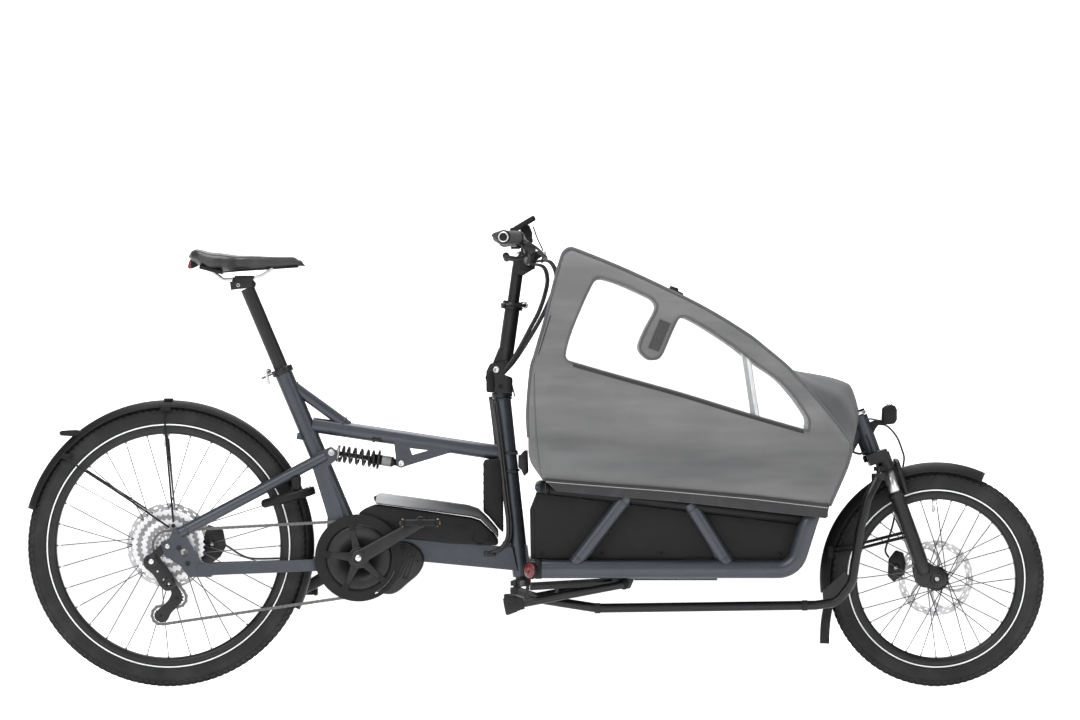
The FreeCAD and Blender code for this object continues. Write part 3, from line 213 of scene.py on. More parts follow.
# name: (colour, roughness, metallic, further sockets, layers); a layer holds its kind, its pattern and its values:
# paint has (low, high, colour, amount), gloss has the roughness range, bump has (distance, strength)
FINISH_TABLE = {
    "frame_paint": ((0.034, 0.039, 0.048), 0.36, 0.5, {"Coat_Weight": 0.12, "Coat_Roughness": 0.35}, [
        ("paint", ("noise", 9, 4), 0.35, 0.75, (0.043, 0.049, 0.059)),
        ("paint", ("noise", 420, 2), 0.66, 0.74, (0.10, 0.11, 0.125)),
        ("gloss", ("noise", 30, 4), 0.30, 0.44), ("bump", ("noise", 900, 2), 0.0002, 0.35)]),
    "black_metal": ((0.006, 0.006, 0.007), 0.38, 0.2,
                    {"Coat_Weight": 0.1, "Coat_Roughness": 0.3, "Specular_IOR_Level": 0.35}, [
        ("paint", ("noise", 24, 5), 0.55, 0.85, (0.016, 0.016, 0.017)),
        ("gloss", ("noise", 45, 4), 0.30, 0.50), ("bump", ("noise", 700, 2), 0.0002, 0.3)]),
    "black_plastic": ((0.005, 0.005, 0.0055), 0.55, 0, {"Specular_IOR_Level": 0.22}, [
        ("paint", ("noise", 15, 4), 0.5, 0.9, (0.011, 0.011, 0.0115)),
        ("gloss", ("noise", 60, 4), 0.48, 0.66), ("bump", ("voronoi", 1400), 0.0002, 0.35)]),
    "grey_plastic": ((0.17, 0.172, 0.178), 0.34, 0.1, {}, [
        ("paint", ("noise", 12, 4), 0.5, 0.9, (0.22, 0.222, 0.23)),
        ("gloss", ("noise", 70, 4), 0.28, 0.42), ("bump", ("noise", 1200, 2), 0.0001, 0.3)]),
    # Battery lid with a painted highlight: light grey at its rear end, darkening along x to near black towards the
    # front
    "lid_painted_highlight": ((0.30, 0.302, 0.308), 0.34, 0.1, {}, [
        ("paint", ("along_x",), -0.36, -0.20, (0.045, 0.046, 0.048)),
        ("paint", ("along_x",), -0.20, -0.12, (0.010, 0.010, 0.011)),
        ("gloss", ("noise", 70, 4), 0.28, 0.42), ("bump", ("noise", 1200, 2), 0.0001, 0.3)]),
    "bare_alloy": ((0.62, 0.62, 0.63), 0.3, 1, {}, [
        ("paint", ("noise", 40, 5), 0.45, 0.8, (0.45, 0.45, 0.46)),
        ("gloss", ("noise", 90, 4, 0.55, (1, 1, 8)), 0.22, 0.42)]),
    "bare_steel": ((0.42, 0.42, 0.43), 0.3, 1, {}, [
        ("paint", ("noise", 60, 5), 0.5, 0.8, (0.22, 0.22, 0.23)), ("gloss", ("noise", 120, 4), 0.22, 0.45)]),
    "tyre_rubber": ((0.018, 0.018, 0.019), 0.85, 0, {"Specular_IOR_Level": 0.2}, [
        ("paint", ("noise", 14, 6), 0.45, 0.8, (0.032, 0.032, 0.031)),
        ("gloss", ("noise", 50, 4), 0.72, 0.92), ("bump", ("noise", 600, 3), 0.0004, 0.4)]),
    "grip_rubber": ((0.022, 0.022, 0.024), 0.7, 0, {}, [
        ("paint", ("noise", 30, 4), 0.5, 0.8, (0.038, 0.038, 0.04)), ("bump", ("voronoi", 900), 0.0006, 0.5)]),
    "cover_fabric": ((0.108, 0.109, 0.111), 0.85, 0, {"Sheen_Weight": 0.15, "Sheen_Roughness": 0.5}, [
        ("paint", ("noise", 3.2, 5), 0.40, 0.72, (0.135, 0.135, 0.137)),
        ("paint", ("noise", 28, 6), 0.62, 0.9, (0.09, 0.09, 0.092)),
        # Painted fold shade and highlight: two stretched noises lay darker and lighter horizontal bands into the cloth
        # colour
        ("paint", ("noise", 2.6, 3, 0.55, (0.8, 0.8, 4.2)), 0.50, 0.70, (0.060, 0.061, 0.063), 0.75),
        ("paint", ("noise", 2.6, 3, 0.55, (0.8, 0.8, 4.2)), 0.46, 0.30, (0.18, 0.18, 0.182), 0.7),
        ("paint", ("weave", 420, "X", "Z"), 0, 1, (0.155, 0.155, 0.157), 0.35),
        ("bump", ("noise", 5.5, 3), 0.014, 0.45), ("bump", ("weave", 420, "X", "Z"), 0.0005, 0.5)]),
    "bench_fabric": ((0.085, 0.087, 0.092), 0.9, 0, {"Sheen_Weight": 0.2}, [
        ("paint", ("noise", 10, 5), 0.4, 0.8, (0.12, 0.122, 0.128)),
        ("bump", ("weave", 260, "X", "Y", 0.5), 0.0008, 0.5)]),
    "clear_film": ((0.93, 0.95, 0.96), 0.06, 0, {"Alpha": 0.24, "IOR": 1.4}, [
        ("gloss", ("noise", 5, 3), 0.03, 0.14), ("bump", ("noise", 4.5, 2), 0.012, 0.5)]),
    "saddle_leather": ((0.013, 0.013, 0.014), 0.48, 0, {}, [
        ("paint", ("noise", 22, 5), 0.5, 0.85, (0.030, 0.030, 0.032)),
        ("gloss", ("noise", 40, 4), 0.40, 0.60), ("bump", ("voronoi", 520), 0.0006, 0.45)]),
    "reflector_red": ((0.060, 0.002, 0.003), 0.22, 0, {"Coat_Weight": 0.25, "Coat_Roughness": 0.1}, [
        ("paint", ("voronoi", 420), 0.2, 0.6, (0.12, 0.004, 0.006)), ("bump", ("voronoi", 420), 0.0008, 0.7)]),
    "reflector_amber": ((0.75, 0.28, 0.03), 0.2, 0, {"Coat_Weight": 0.6, "Coat_Roughness": 0.1}, [
        ("paint", ("voronoi", 500), 0.2, 0.6, (0.95, 0.45, 0.08)), ("bump", ("voronoi", 500), 0.0006, 0.6)]),
    "cable_black": ((0.020, 0.020, 0.021), 0.5, 0, {}, [
        ("paint", ("noise", 60, 4), 0.5, 0.9, (0.04, 0.04, 0.042)),
        ("gloss", ("noise", 200, 3), 0.42, 0.6), ("bump", ("noise", 800, 2), 0.0002, 0.3)]),
    "cover_dark": ((0.075, 0.076, 0.080), 0.75, 0, {"Sheen_Weight": 0.1}, [
        ("paint", ("noise", 30, 4), 0.5, 0.85, (0.11, 0.11, 0.115)),
        ("bump", ("wave", 520, "DIAGONAL", 0.3), 0.0004, 0.5)]),
    "hood_fabric": ((0.040, 0.041, 0.044), 0.8, 0, {"Sheen_Weight": 0.12}, [
        ("paint", ("noise", 7, 5), 0.4, 0.8, (0.062, 0.063, 0.067)),
        ("bump", ("noise", 9, 3), 0.008, 0.4), ("bump", ("weave", 420, "X", "Z"), 0.0005, 0.5)]),
    "hem_black": ((0.020, 0.020, 0.022), 0.8, 0, {"Sheen_Weight": 0.1}, [
        ("paint", ("noise", 40, 4), 0.5, 0.85, (0.035, 0.035, 0.037)),
        ("bump", ("wave", 600, "X", 0.3), 0.0004, 0.5)]),
    "thread": ((0.62, 0.62, 0.60), 0.8, 0, {}, [
        ("paint", ("noise", 300, 3), 0.5, 0.8, (0.48, 0.48, 0.47)),
        ("bump", ("wave", 2400, "DIAGONAL"), 0.0002, 0.5)]),
    "hook_loop": ((0.030, 0.030, 0.031), 0.95, 0, {"Sheen_Weight": 0.3}, [
        ("paint", ("noise", 500, 3), 0.45, 0.7, (0.060, 0.060, 0.062)), ("bump", ("noise", 1500, 3), 0.0012, 0.8)]),
    "reflex_white": ((0.80, 0.81, 0.82), 0.35, 0, {"Coat_Weight": 0.3, "Coat_Roughness": 0.2}, [
        ("paint", ("noise", 200, 3), 0.55, 0.8, (0.66, 0.67, 0.68)), ("bump", ("voronoi", 1600), 0.0002, 0.4)]),
    "cog_steel": ((0.22, 0.22, 0.23), 0.34, 1, {}, [
        ("paint", ("noise", 90, 5), 0.45, 0.75, (0.12, 0.12, 0.125)), ("gloss", ("noise", 160, 4), 0.25, 0.5)]),
    "chain_steel": ((0.13, 0.127, 0.124), 0.36, 1, {}, [
        ("paint", ("noise", 300, 4), 0.5, 0.75, (0.055, 0.053, 0.051)), ("gloss", ("noise", 240, 4), 0.28, 0.55)]),
    "spoke_steel": ((0.10, 0.10, 0.105), 0.3, 1, {}, [
        ("paint", ("noise", 60, 4), 0.5, 0.8, (0.05, 0.05, 0.052)), ("gloss", ("noise", 120, 3), 0.22, 0.4)]),
    "display_glass": ((0.010, 0.011, 0.013), 0.08, 0, {"Coat_Weight": 0.8, "Coat_Roughness": 0.04}, [
        ("paint", ("noise", 8, 3), 0.55, 0.85, (0.02, 0.022, 0.026)), ("bump", ("noise", 400, 2), 0.00005, 0.2)]),
}


def make_finishes():
    made = {}
    for name, (color, rough, metal, sockets, layers) in FINISH_TABLE.items():
        finish = made[name] = Finish(name, color, rough, metal, **sockets)
        for kind, (pattern, *values), *rest in layers:
            source = getattr(finish, pattern)(*values)
            if kind == "paint":
                low, high, tint, *amount = rest
                finish.paint(finish.remap(source, low, high, 0, *(amount or [1])), tint)
            else:
                getattr(finish, kind)(source, *rest)
    return made


FINISHES = make_finishes()


def dress_frame():
    """Gives every CAD node the finish of its material slot."""
    for part in frame["record"]["subparts"]:
        solid = frame["nodes"][part["node"]]
        finish = FINISHES[part["material_slot"]].material
        solid.data.materials.clear()
        solid.data.materials.append(finish)


# ---------------------------------------------------------------- mesh helpers

def add(name, mesh, finish, body, replaces=(), smooth=True):
    """Links a new piece with its finish, rides it on a body and notes the CAD nodes it stands for."""
    if smooth:
        for face in mesh.polygons:
            face.use_smooth = True
    made = bpy.data.objects.new(name, mesh)
    bpy.context.scene.collection.objects.link(made)
    if not mesh.materials:
        mesh.materials.append(finish.material)
    if body:
        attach(made, body)
    if replaces:
        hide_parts(*replaces)
    return made


def mesh_from(name, verts, faces):
    mesh = bpy.data.meshes.new(name)
    mesh.from_pydata([tuple(v) for v in verts], [], faces)
    mesh.update()
    return mesh


def grid_faces(rows, columns, closed_rows=False, closed_columns=False, skip=None):
    faces = []
    for i in range(rows if closed_rows else rows - 1):
        for j in range(columns if closed_columns else columns - 1):
            if skip and skip(i, j):
                continue
            a, b = i * columns + j, i * columns + (j + 1) % columns
            c, d = ((i + 1) % rows) * columns + (j + 1) % columns, ((i + 1) % rows) * columns + j
            faces.append((a, b, c, d))
    return faces


def smooth_line(points, count, closed=False):
    """Evenly spaced points on a Catmull-Rom curve through the given ones."""
    points = [Vector(p) for p in points]
    last = len(points) - 1
    fine = []
    spans = last + 1 if closed else last
    for i in range(spans):
        p1, p2 = points[i], points[(i + 1) % len(points)]
        p0 = points[i - 1] if closed or i > 0 else p1 * 2 - p2
        p3 = points[(i + 2) % len(points)] if closed or i + 2 <= last else p2 * 2 - p1
        for k in range(12):
            t = k / 12
            fine.append(0.5 * ((2 * p1) + (p2 - p0) * t + (2 * p0 - 5 * p1 + 4 * p2 - p3) * t * t
                               + (3 * p1 - 3 * p2 + p3 - p0) * t ** 3))
    fine.append(points[0].copy() if closed else points[-1].copy())
    return spaced(fine, count)


def spaced(line, count):
    """Resamples a polyline at equal steps of its length."""
    reach = [0.0]
    for a, b in zip(line, line[1:]):
        reach.append(reach[-1] + (b - a).length)
    out, k = [], 0
    for i in range(count):
        goal = reach[-1] * i / (count - 1)
        while k < len(line) - 2 and reach[k + 1] < goal:
            k += 1
        step = reach[k + 1] - reach[k]
        out.append(line[k].lerp(line[k + 1], (goal - reach[k]) / step if step > 1e-9 else 0))
    return out


def frames_along(line, up=Vector((0, 0, 1))):
    """Two cross directions at each point of a line, carried along without twist."""
    out = []
    side = None
    for i, point in enumerate(line):
        ahead = (line[min(i + 1, len(line) - 1)] - line[max(i - 1, 0)]).normalized()
        if side is None:
            side = ahead.cross(up)
            if side.length < 1e-3:
                side = ahead.cross(Vector((0, 1, 0)))
        side = (side - ahead * side.dot(ahead)).normalized()
        out.append((side.copy(), ahead.cross(side).normalized()))
    return out


def sweep(name, line, radius, sides=12, caps=True, closed=False):
    """Tube mesh along a line; radius is a number or one per point, and may be a pair for a flat section."""
    verts = []
    crosses = frames_along(line)
    count = len(line)
    for i, (point, (a, b)) in enumerate(zip(line, crosses)):
        r = radius[i] if isinstance(radius, list) else radius
        ra, rb = r if isinstance(r, tuple) else (r, r)
        for k in range(sides):
            turn = TAU * k / sides
            verts.append(point + a * (math.cos(turn) * ra) + b * (math.sin(turn) * rb))
    faces = grid_faces(count, sides, closed_rows=closed, closed_columns=True)
    if caps and not closed:
        faces.append(tuple(range(sides))[::-1])
        faces.append(tuple((count - 1) * sides + k for k in range(sides)))
    return mesh_from(name, verts, faces)


def join_meshes(name, meshes):
    """One mesh holding several; their materials are dropped."""
    verts, faces = [], []
    for mesh in meshes:
        base = len(verts)
        verts += [v.co.copy() for v in mesh.vertices]
        faces += [tuple(base + k for k in face.vertices) for face in mesh.polygons]
        bpy.data.meshes.remove(mesh)
    return mesh_from(name, verts, faces)


def apply_all(piece):
    """Replaces a piece's mesh with what its modifiers make of it."""
    bpy.context.view_layer.update()
    graph = bpy.context.evaluated_depsgraph_get()
    mesh = bpy.data.meshes.new_from_object(piece.evaluated_get(graph))
    old = piece.data
    piece.modifiers.clear()
    piece.data = mesh
    bpy.data.meshes.remove(old)
    return piece


def box_mesh(name, centre, lengths, turn=None, bevel=0.0, segments=3):
    """Box about a centre with rounded edges."""
    work = bmesh.new()
    bmesh.ops.create_cube(work, size=1)
    matrix = Matrix.Translation(centre) @ (turn or Matrix()).to_4x4() @ Matrix.Diagonal((*lengths, 1))
    bmesh.ops.transform(work, matrix=matrix, verts=work.verts)
    if bevel:
        bmesh.ops.bevel(work, geom=work.edges[:], offset=bevel, segments=segments, affect="EDGES", profile=0.5)
    mesh = bpy.data.meshes.new(name)
    work.to_mesh(mesh)
    work.free()
    return mesh


def lathe(name, profile, centre, sides=96, axis="Y", closed=True):
    """Ring turned about an axis through centre; profile holds (radius, offset along the axis)."""
    verts = []
    for k in range(sides):
        turn = TAU * k / sides
        c, s = math.cos(turn), math.sin(turn)
        for radius, offset in profile:
            if axis == "Y":
                verts.append(centre + Vector((c * radius, offset, s * radius)))
            else:
                verts.append(centre + Vector((c * radius, s * radius, offset)))
    faces = grid_faces(sides, len(profile), closed_rows=True, closed_columns=closed)
    return mesh_from(name, verts, faces)


def prism_mesh(name, outline, low, high, bevel=0.0, segments=2):
    """Flat piece with an outline of (x, z) corners between two places on Y."""
    work = bmesh.new()
    front = [work.verts.new((x, low, z)) for x, z in outline]
    face = work.faces.new(front)
    work.normal_update()
    grown = bmesh.ops.extrude_face_region(work, geom=[face])
    moved = [v for v in grown["geom"] if isinstance(v, bmesh.types.BMVert)]
    bmesh.ops.translate(work, verts=moved, vec=(0, high - low, 0))
    bmesh.ops.recalc_face_normals(work, faces=work.faces[:])
    if bevel:
        sharp = [e for e in work.edges if len(e.link_faces) == 2 and e.calc_face_angle(0) > 0.5]
        bmesh.ops.bevel(work, geom=sharp, offset=bevel, segments=segments, affect="EDGES", profile=0.5)
    mesh = bpy.data.meshes.new(name)
    work.to_mesh(mesh)
    work.free()
    return mesh


# ---------------------------------------------------------------- rain cover

COVER_EDGE = [(0.020, 0.494), (-0.010, 0.542), (-0.014, 0.600), (-0.016, 0.657), (-0.008, 0.754), (0.002, 0.790),
              (0.027, 0.877), (0.050, 0.969), (0.062, 1.012), (0.070, 1.032), (0.084, 1.041), (0.104, 1.036),
              (0.201, 0.997), (0.301, 0.951), (0.403, 0.900), (0.500, 0.841), (0.549, 0.803), (0.600, 0.760),
              (0.649, 0.708), (0.700, 0.647), (0.738, 0.598), (0.749, 0.578), (0.748, 0.556), (0.736, 0.519),
              (0.720, 0.483), (0.705, 0.450), (0.692, 0.422)]
COVER_HEM = [(0.020, 0.494), (0.100, 0.487), (0.340, 0.464), (0.560, 0.438), (0.692, 0.422)]
WINDOW = [(0.073, 0.790), (0.084, 0.835), (0.112, 0.905), (0.136, 0.955), (0.148, 0.970), (0.168, 0.969),
          (0.209, 0.955), (0.270, 0.927), (0.285, 0.915), (0.289, 0.897), (0.265, 0.851), (0.249, 0.812),
          (0.254, 0.794), (0.270, 0.780), (0.288, 0.779), (0.301, 0.790), (0.318, 0.828), (0.336, 0.868),
          (0.345, 0.878), (0.362, 0.877), (0.408, 0.851), (0.470, 0.810), (0.516, 0.774), (0.575, 0.733),
          (0.613, 0.692), (0.640, 0.654), (0.650, 0.634), (0.648, 0.616), (0.636, 0.613), (0.500, 0.652),
          (0.350, 0.698), (0.200, 0.740), (0.092, 0.771), (0.078, 0.777)]
HOOD_LINE = [(0.604, 0.757), (0.626, 0.7505), (0.660, 0.744), (0.700, 0.735), (0.738, 0.723), (0.752, 0.714),
             (0.764, 0.690), (0.773, 0.662), (0.775, 0.640), (0.768, 0.610), (0.757, 0.580)]


def cover_half(x, z):
    """Half width of the cover's flat side at a height, narrowing towards the nose."""
    hem = 0.2625 - (z - 0.44) * math.tan(math.radians(4.5))
    nose = max(0.0, x - 0.42)
    return hem - 0.55 * nose * nose * max(0.0, min(1.0, (z - 0.44) / 0.2))


def side_billow(x, z):
    """How far the slack cloth of the side stands out, in soft lengthwise folds."""
    sill = 0.797 - 0.297 * x
    below = max(0.0, min(1.0, (sill - z) / 0.05))
    folds = 0.0078 * math.sin((z + 0.035 * math.sin(x * 6.0)) * 46 + 1.0 + 1.4 * x)
    folds += 0.0030 * math.sin(z * 90 + x * 9) + 0.0018 * math.sin(x * 31 + z * 17)
    belly = 0.010 * math.sin(math.pi * max(0.0, min(1.0, (x + 0.02) / 0.76)))
    hem = max(0.0, min(1.0, (z - 0.5105 + 0.107 * (x - 0.02)) / 0.055))
    return hem * (below * (0.010 + folds + belly) + 0.0008 * (1 + math.sin(x * 40 + z * 25)))


def distance_to(line, x, z):
    best = 1.0
    for (ax, az), (bx, bz) in zip(line, line[1:]):
        dx, dz = bx - ax, bz - az
        t = max(0.0, min(1.0, ((x - ax) * dx + (z - az) * dz) / (dx * dx + dz * dz + 1e-12)))
        best = min(best, math.hypot(x - ax - dx * t, z - az - dz * t))
    return best


EDGE_ROUND = 0.018


def side_point(x, z, line, out=0.0):
    """Point on the right-hand side's cloth, rounded in towards the edge line."""
    near = distance_to(line, x, z)
    inset = 0.0
    if near < EDGE_ROUND:
        inset = EDGE_ROUND * (1 - math.sqrt(max(0.0, 1 - (1 - near / EDGE_ROUND) ** 2)))
    slack = side_billow(x, z) * min(1.0, near / 0.05)
    return Vector((x, -(cover_half(x, z) - inset + slack + out), z))


def side_mesh(columns, rows, line, hem):
    """Grid over one side, between the hem and the edge line."""
    edge = spaced([Vector((x, 0, z)) for x, z in line], columns)
    foot = spaced([Vector((x, 0, z)) for x, z in hem], columns)
    verts = []
    for low, high in zip(foot, edge):
        for k in range(rows):
            spot = low.lerp(high, k / (rows - 1))
            verts.append(side_point(spot.x, spot.z, line))
    return mesh_from("cover_side", verts, grid_faces(columns, rows))


def mirror_mesh(mesh):
    """Copy of a mesh on the other side of the bicycle."""
    copy = mesh.copy()
    copy.transform(Matrix.Diagonal((1, -1, 1, 1)))
    copy.flip_normals()
    return copy


def inside(line, x, z):
    """Whether a place on the side view lies within a closed line."""
    found = False
    for a, b in zip(line, line[1:] + line[:1]):
        if (a.z > z) != (b.z > z) and x < (b.x - a.x) * (z - a.z) / (b.z - a.z) + a.x:
            found = not found
    return found


def cut_openings(mesh, window, edge):
    """Opens both windows and the nose mouth in the sheet, and draws the cut edges onto the window line."""
    low_x, high_x = min(p.x for p in window), max(p.x for p in window)
    work = bmesh.new()
    work.from_mesh(mesh)
    gone = []
    for face in work.faces:
        spot = face.calc_center_median()
        if abs(face.normal.y) > 0.4:
            if low_x < spot.x < high_x and spot.z > 0.61 and inside(window, spot.x, spot.z):
                gone.append(face)
        elif spot.x > 0.702 and abs(spot.y) < 0.058 and 0.475 < spot.z < 0.672:
            gone.append(face)
    bmesh.ops.delete(work, geom=gone, context="FACES")
    for vert in work.verts:
        if not (vert.is_boundary and low_x - 0.01 < vert.co.x < high_x + 0.01 and abs(vert.co.y) > 0.15):
            continue
        near = min(window, key=lambda p: (p.x - vert.co.x) ** 2 + (p.z - vert.co.z) ** 2)
        if math.hypot(near.x - vert.co.x, near.z - vert.co.z) < 0.010 and vert.co.z > 0.60:
            spot = side_point(near.x, near.z, edge)
            vert.co = Vector((spot.x, math.copysign(spot.y, vert.co.y), spot.z))
    bmesh.ops.remove_doubles(work, verts=work.verts[:], dist=0.0003)
    work.to_mesh(mesh)
    work.free()


def rain_cover():
    fabric = FINISHES["cover_fabric"]
    edge = [(p.x, p.z) for p in smooth_line([Vector((x, 0, z)) for x, z in COVER_EDGE], 260)]
    side = side_mesh(220, 70, edge, COVER_HEM)
    other = mirror_mesh(side)
    rows = 44
    verts = []
    for x, z in edge:
        half = cover_half(x, z) - EDGE_ROUND
        for k in range(rows):
            u = -1 + 2 * k / (rows - 1)
            y = half * u
            sag = 0.0045 * math.cos(u * math.pi / 2) * math.sin(7 * x + 3) - 0.0015 * math.sin(30 * x + 6 * u)
            verts.append(Vector((x + (0.3 * sag), y, z + sag * (1 - u * u))))
    roof = mesh_from("cover_roof", verts, grid_faces(len(edge), rows))
    whole = join_meshes("rain_cover_cloth", [side, other, roof])
    cloth = add("rain_cover_cloth", whole, fabric, None)
    work = bmesh.new()
    work.from_mesh(whole)
    bmesh.ops.remove_doubles(work, verts=work.verts[:], dist=0.0006)
    bmesh.ops.recalc_face_normals(work, faces=work.faces[:])
    work.to_mesh(whole)
    work.free()
    window_line = smooth_line([Vector((x, 0, z)) for x, z in WINDOW], 420, closed=True)[:-1]
    cut_openings(whole, window_line, edge)
    solid = cloth.modifiers.new("thick", "SOLIDIFY")
    solid.thickness = 0.0016
    solid.offset = -1
    apply_all(cloth)
    for face in cloth.data.polygons:
        face.use_smooth = True
    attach(cloth, "frame")
    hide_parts("rain_cover")
    windows(window_line[::2], edge)
    cover_trim(edge)
    hood(edge)


def windows(line, edge):
    """Clear film behind each window opening, with a bound edge and the fastening patch on the tongue."""
    film, binding = [], []
    for side in (1, -1):
        work = bmesh.new()
        ring = [work.verts.new((p.x, 0, p.z)) for p in line]
        face = work.faces.new(ring)
        bmesh.ops.triangulate(work, faces=[face])
        for _ in range(2):
            bmesh.ops.subdivide_edges(work, edges=[e for e in work.edges if e.calc_length() > 0.03], cuts=1)
            bmesh.ops.triangulate(work, faces=work.faces[:])
        for vert in work.verts:
            spot = side_point(vert.co.x, vert.co.z, edge, out=-0.0024)
            vert.co = Vector((spot.x, spot.y * side, spot.z))
        bmesh.ops.recalc_face_normals(work, faces=work.faces[:])
        mesh = bpy.data.meshes.new("window_film")
        work.to_mesh(mesh)
        work.free()
        film.append(mesh)
        path = []
        for p in line:
            spot = side_point(p.x, p.z, edge, out=0.0006)
            path.append(Vector((spot.x, spot.y * side, spot.z)))
        binding.append(sweep("binding", path, (0.0022, 0.0022), 8, closed=True))
    panes = piece("window_film", film, "clear_film", "frame", ["cover_windows"])
    piece("window_binding", binding, "cover_dark", "frame", slot="cover_fabric")
    patches = []
    for side in (1, -1):
        verts, columns, rows = [], 8, 20
        corner, across, down = Vector((0.297, 0, 0.873)), Vector((0.025, 0, -0.010)), Vector((-0.028, 0, -0.067))
        for i in range(rows):
            for j in range(columns):
                spot = corner + across * (j / (columns - 1)) + down * (i / (rows - 1))
                placed = side_point(spot.x, spot.z, edge, out=0.0016)
                verts.append(Vector((placed.x, placed.y * side, placed.z)))
        patches.append(mesh_from("patch", verts, grid_faces(rows, columns)))
    piece("window_patch", patches, "hook_loop", "frame", slot="cover_fabric")


def cover_trim(edge):
    """Dark piping on both edge lines, hem band with stitching, rear seam and the roof buckle."""
    dark = FINISHES["cover_dark"]
    start, stop = 18, len(edge) - 2
    piping, seams = [], []
    for side in (1, -1):
        line = []
        for x, z in edge[start:stop]:
            line.append(Vector((x, side * (cover_half(x, z) - EDGE_ROUND * 0.55), z)))
        for i, point in enumerate(line):
            ahead = (line[min(i + 1, len(line) - 1)] - line[max(i - 1, 0)]).normalized()
            point += Vector((-ahead.z, 0, ahead.x)) * -0.001
        piping.append(sweep("piping", line, (0.0048, 0.0040), 10))
        seam = [(0.000, 0.745), (0.002, 0.665), (0.006, 0.595), (0.012, 0.530), (0.019, 0.497)]
        track = [side_point(p.x, p.z, edge, out=0.0004) for p in smooth_line([Vector((x, 0, z)) for x, z in seam], 40)]
        seams.append(sweep("seam", [Vector((p.x, -side * p.y * -1, p.z)) for p in track], (0.0012, 0.0012), 6))
    add("cover_piping", join_meshes("cover_piping", piping), dark, "frame")
    add("cover_seams", join_meshes("cover_seams", seams), dark, "frame")
    hem_band()
    strips = []
    for side in (1, -1):
        for start, end in (((-0.001, 0.792), (0.028, 0.885)), ((0.006, 0.790), (0.035, 0.883))):
            line = spaced([Vector((start[0], 0, start[1])), Vector((end[0], 0, end[1]))], 16)
            line = [side_point(p.x + 0.004, p.z, edge, out=0.0012) for p in line]
            strips.append(sweep("strip", [Vector((p.x, side * p.y, p.z)) for p in line], 0.0013, 6))
    piece("cover_lacing", strips, "hem_black", "frame", slot="cover_fabric")
    # Dark strip along the lower edge of each window opening
    low_dark_strips = []
    for side in (1, -1):
        verts, columns, rows = [], 90, 5
        high = smooth_line([Vector((x, 0, z)) for x, z in WINDOW[-6:-1]][::-1], columns)
        for p in high:
            for k in range(rows):
                spot = side_point(p.x, p.z - 0.0022 * k - 0.001, edge, out=0.0014 * math.sin(math.pi * k / (rows - 1)))
                verts.append(Vector((spot.x, side * (spot.y - 0.0006), spot.z)))
        low_dark_strips.append(mesh_from("sill", verts, grid_faces(columns, rows)))
    piece("window_low_dark_strip", low_dark_strips, "hem_black", "frame", slot="cover_fabric")
    buckle = [box_mesh("buckle", Vector((0.338, 0, 0.9385)), (0.036, 0.040, 0.010),
                       Matrix.Rotation(math.radians(26), 3, "Y"), 0.003),
              box_mesh("buckle_tongue", Vector((0.333, 0, 0.947)), (0.022, 0.030, 0.008),
                       Matrix.Rotation(math.radians(20), 3, "Y"), 0.002),
              box_mesh("buckle_strap", Vector((0.338, 0, 0.9335)), (0.120, 0.025, 0.0026),
                       Matrix.Rotation(math.radians(25.5), 3, "Y"), 0.0008)]
    piece("roof_buckle", buckle, "black_plastic", "frame")


def hem_band():
    """Black lower band of the cover, hanging over the box rail, with a line of pale stitches."""
    columns, rows = 160, 10
    bands, threads = [], []
    top = spaced([Vector((x, 0, z)) for x, z in [(0.020, 0.498), (0.288, 0.478), (0.520, 0.458), (0.697, 0.437)]],
                 columns)
    low = spaced([Vector((x, 0, z)) for x, z in [(0.052, 0.468), (0.198, 0.454), (0.338, 0.443), (0.688, 0.404)]],
                 columns)
    for side in (1, -1):
        verts = []
        for a, b in zip(top, low):
            for k in range(rows):
                spot = a.lerp(b, k / (rows - 1))
                wave = 0.0014 * math.sin(spot.x * 55) * k / rows
                verts.append(Vector((spot.x, side * -(cover_half(spot.x, spot.z) + 0.0022 + wave), spot.z)))
        bands.append(mesh_from("band", verts, grid_faces(columns, rows)))
        for i in range(0, columns - 1):
            a, b = top[i].lerp(low[i], 0.26), top[i + 1].lerp(low[i + 1], 0.26)
            line = [a.lerp(b, 0.12), a.lerp(b, 0.72)]
            line = [Vector((p.x, side * -(cover_half(p.x, p.z) + 0.0058), p.z)) for p in line]
            threads.append(sweep("stitch", line, 0.0009, 6))
    ends = []
    for x, z, tall in ((0.026, 0.482, 0.030), (0.690, 0.424, 0.034)):
        half = cover_half(x, z)
        verts = [Vector((x + (0.0008 if k else 0), half * (-1 + 2 * j / 30), z - tall / 2 + tall * k))
                 for k in (0, 1) for j in range(31)]
        ends.append(mesh_from("band_end", verts, grid_faces(2, 31)))
    band = piece("cover_hem", bands + ends, "hem_black", "frame", slot="cover_fabric")
    solid = band.modifiers.new("thick", "SOLIDIFY")
    solid.thickness = 0.0018
    solid.offset = 1
    apply_all(band)
    piece("hem_stitches", threads, "thread", "frame", slot="cover_fabric")


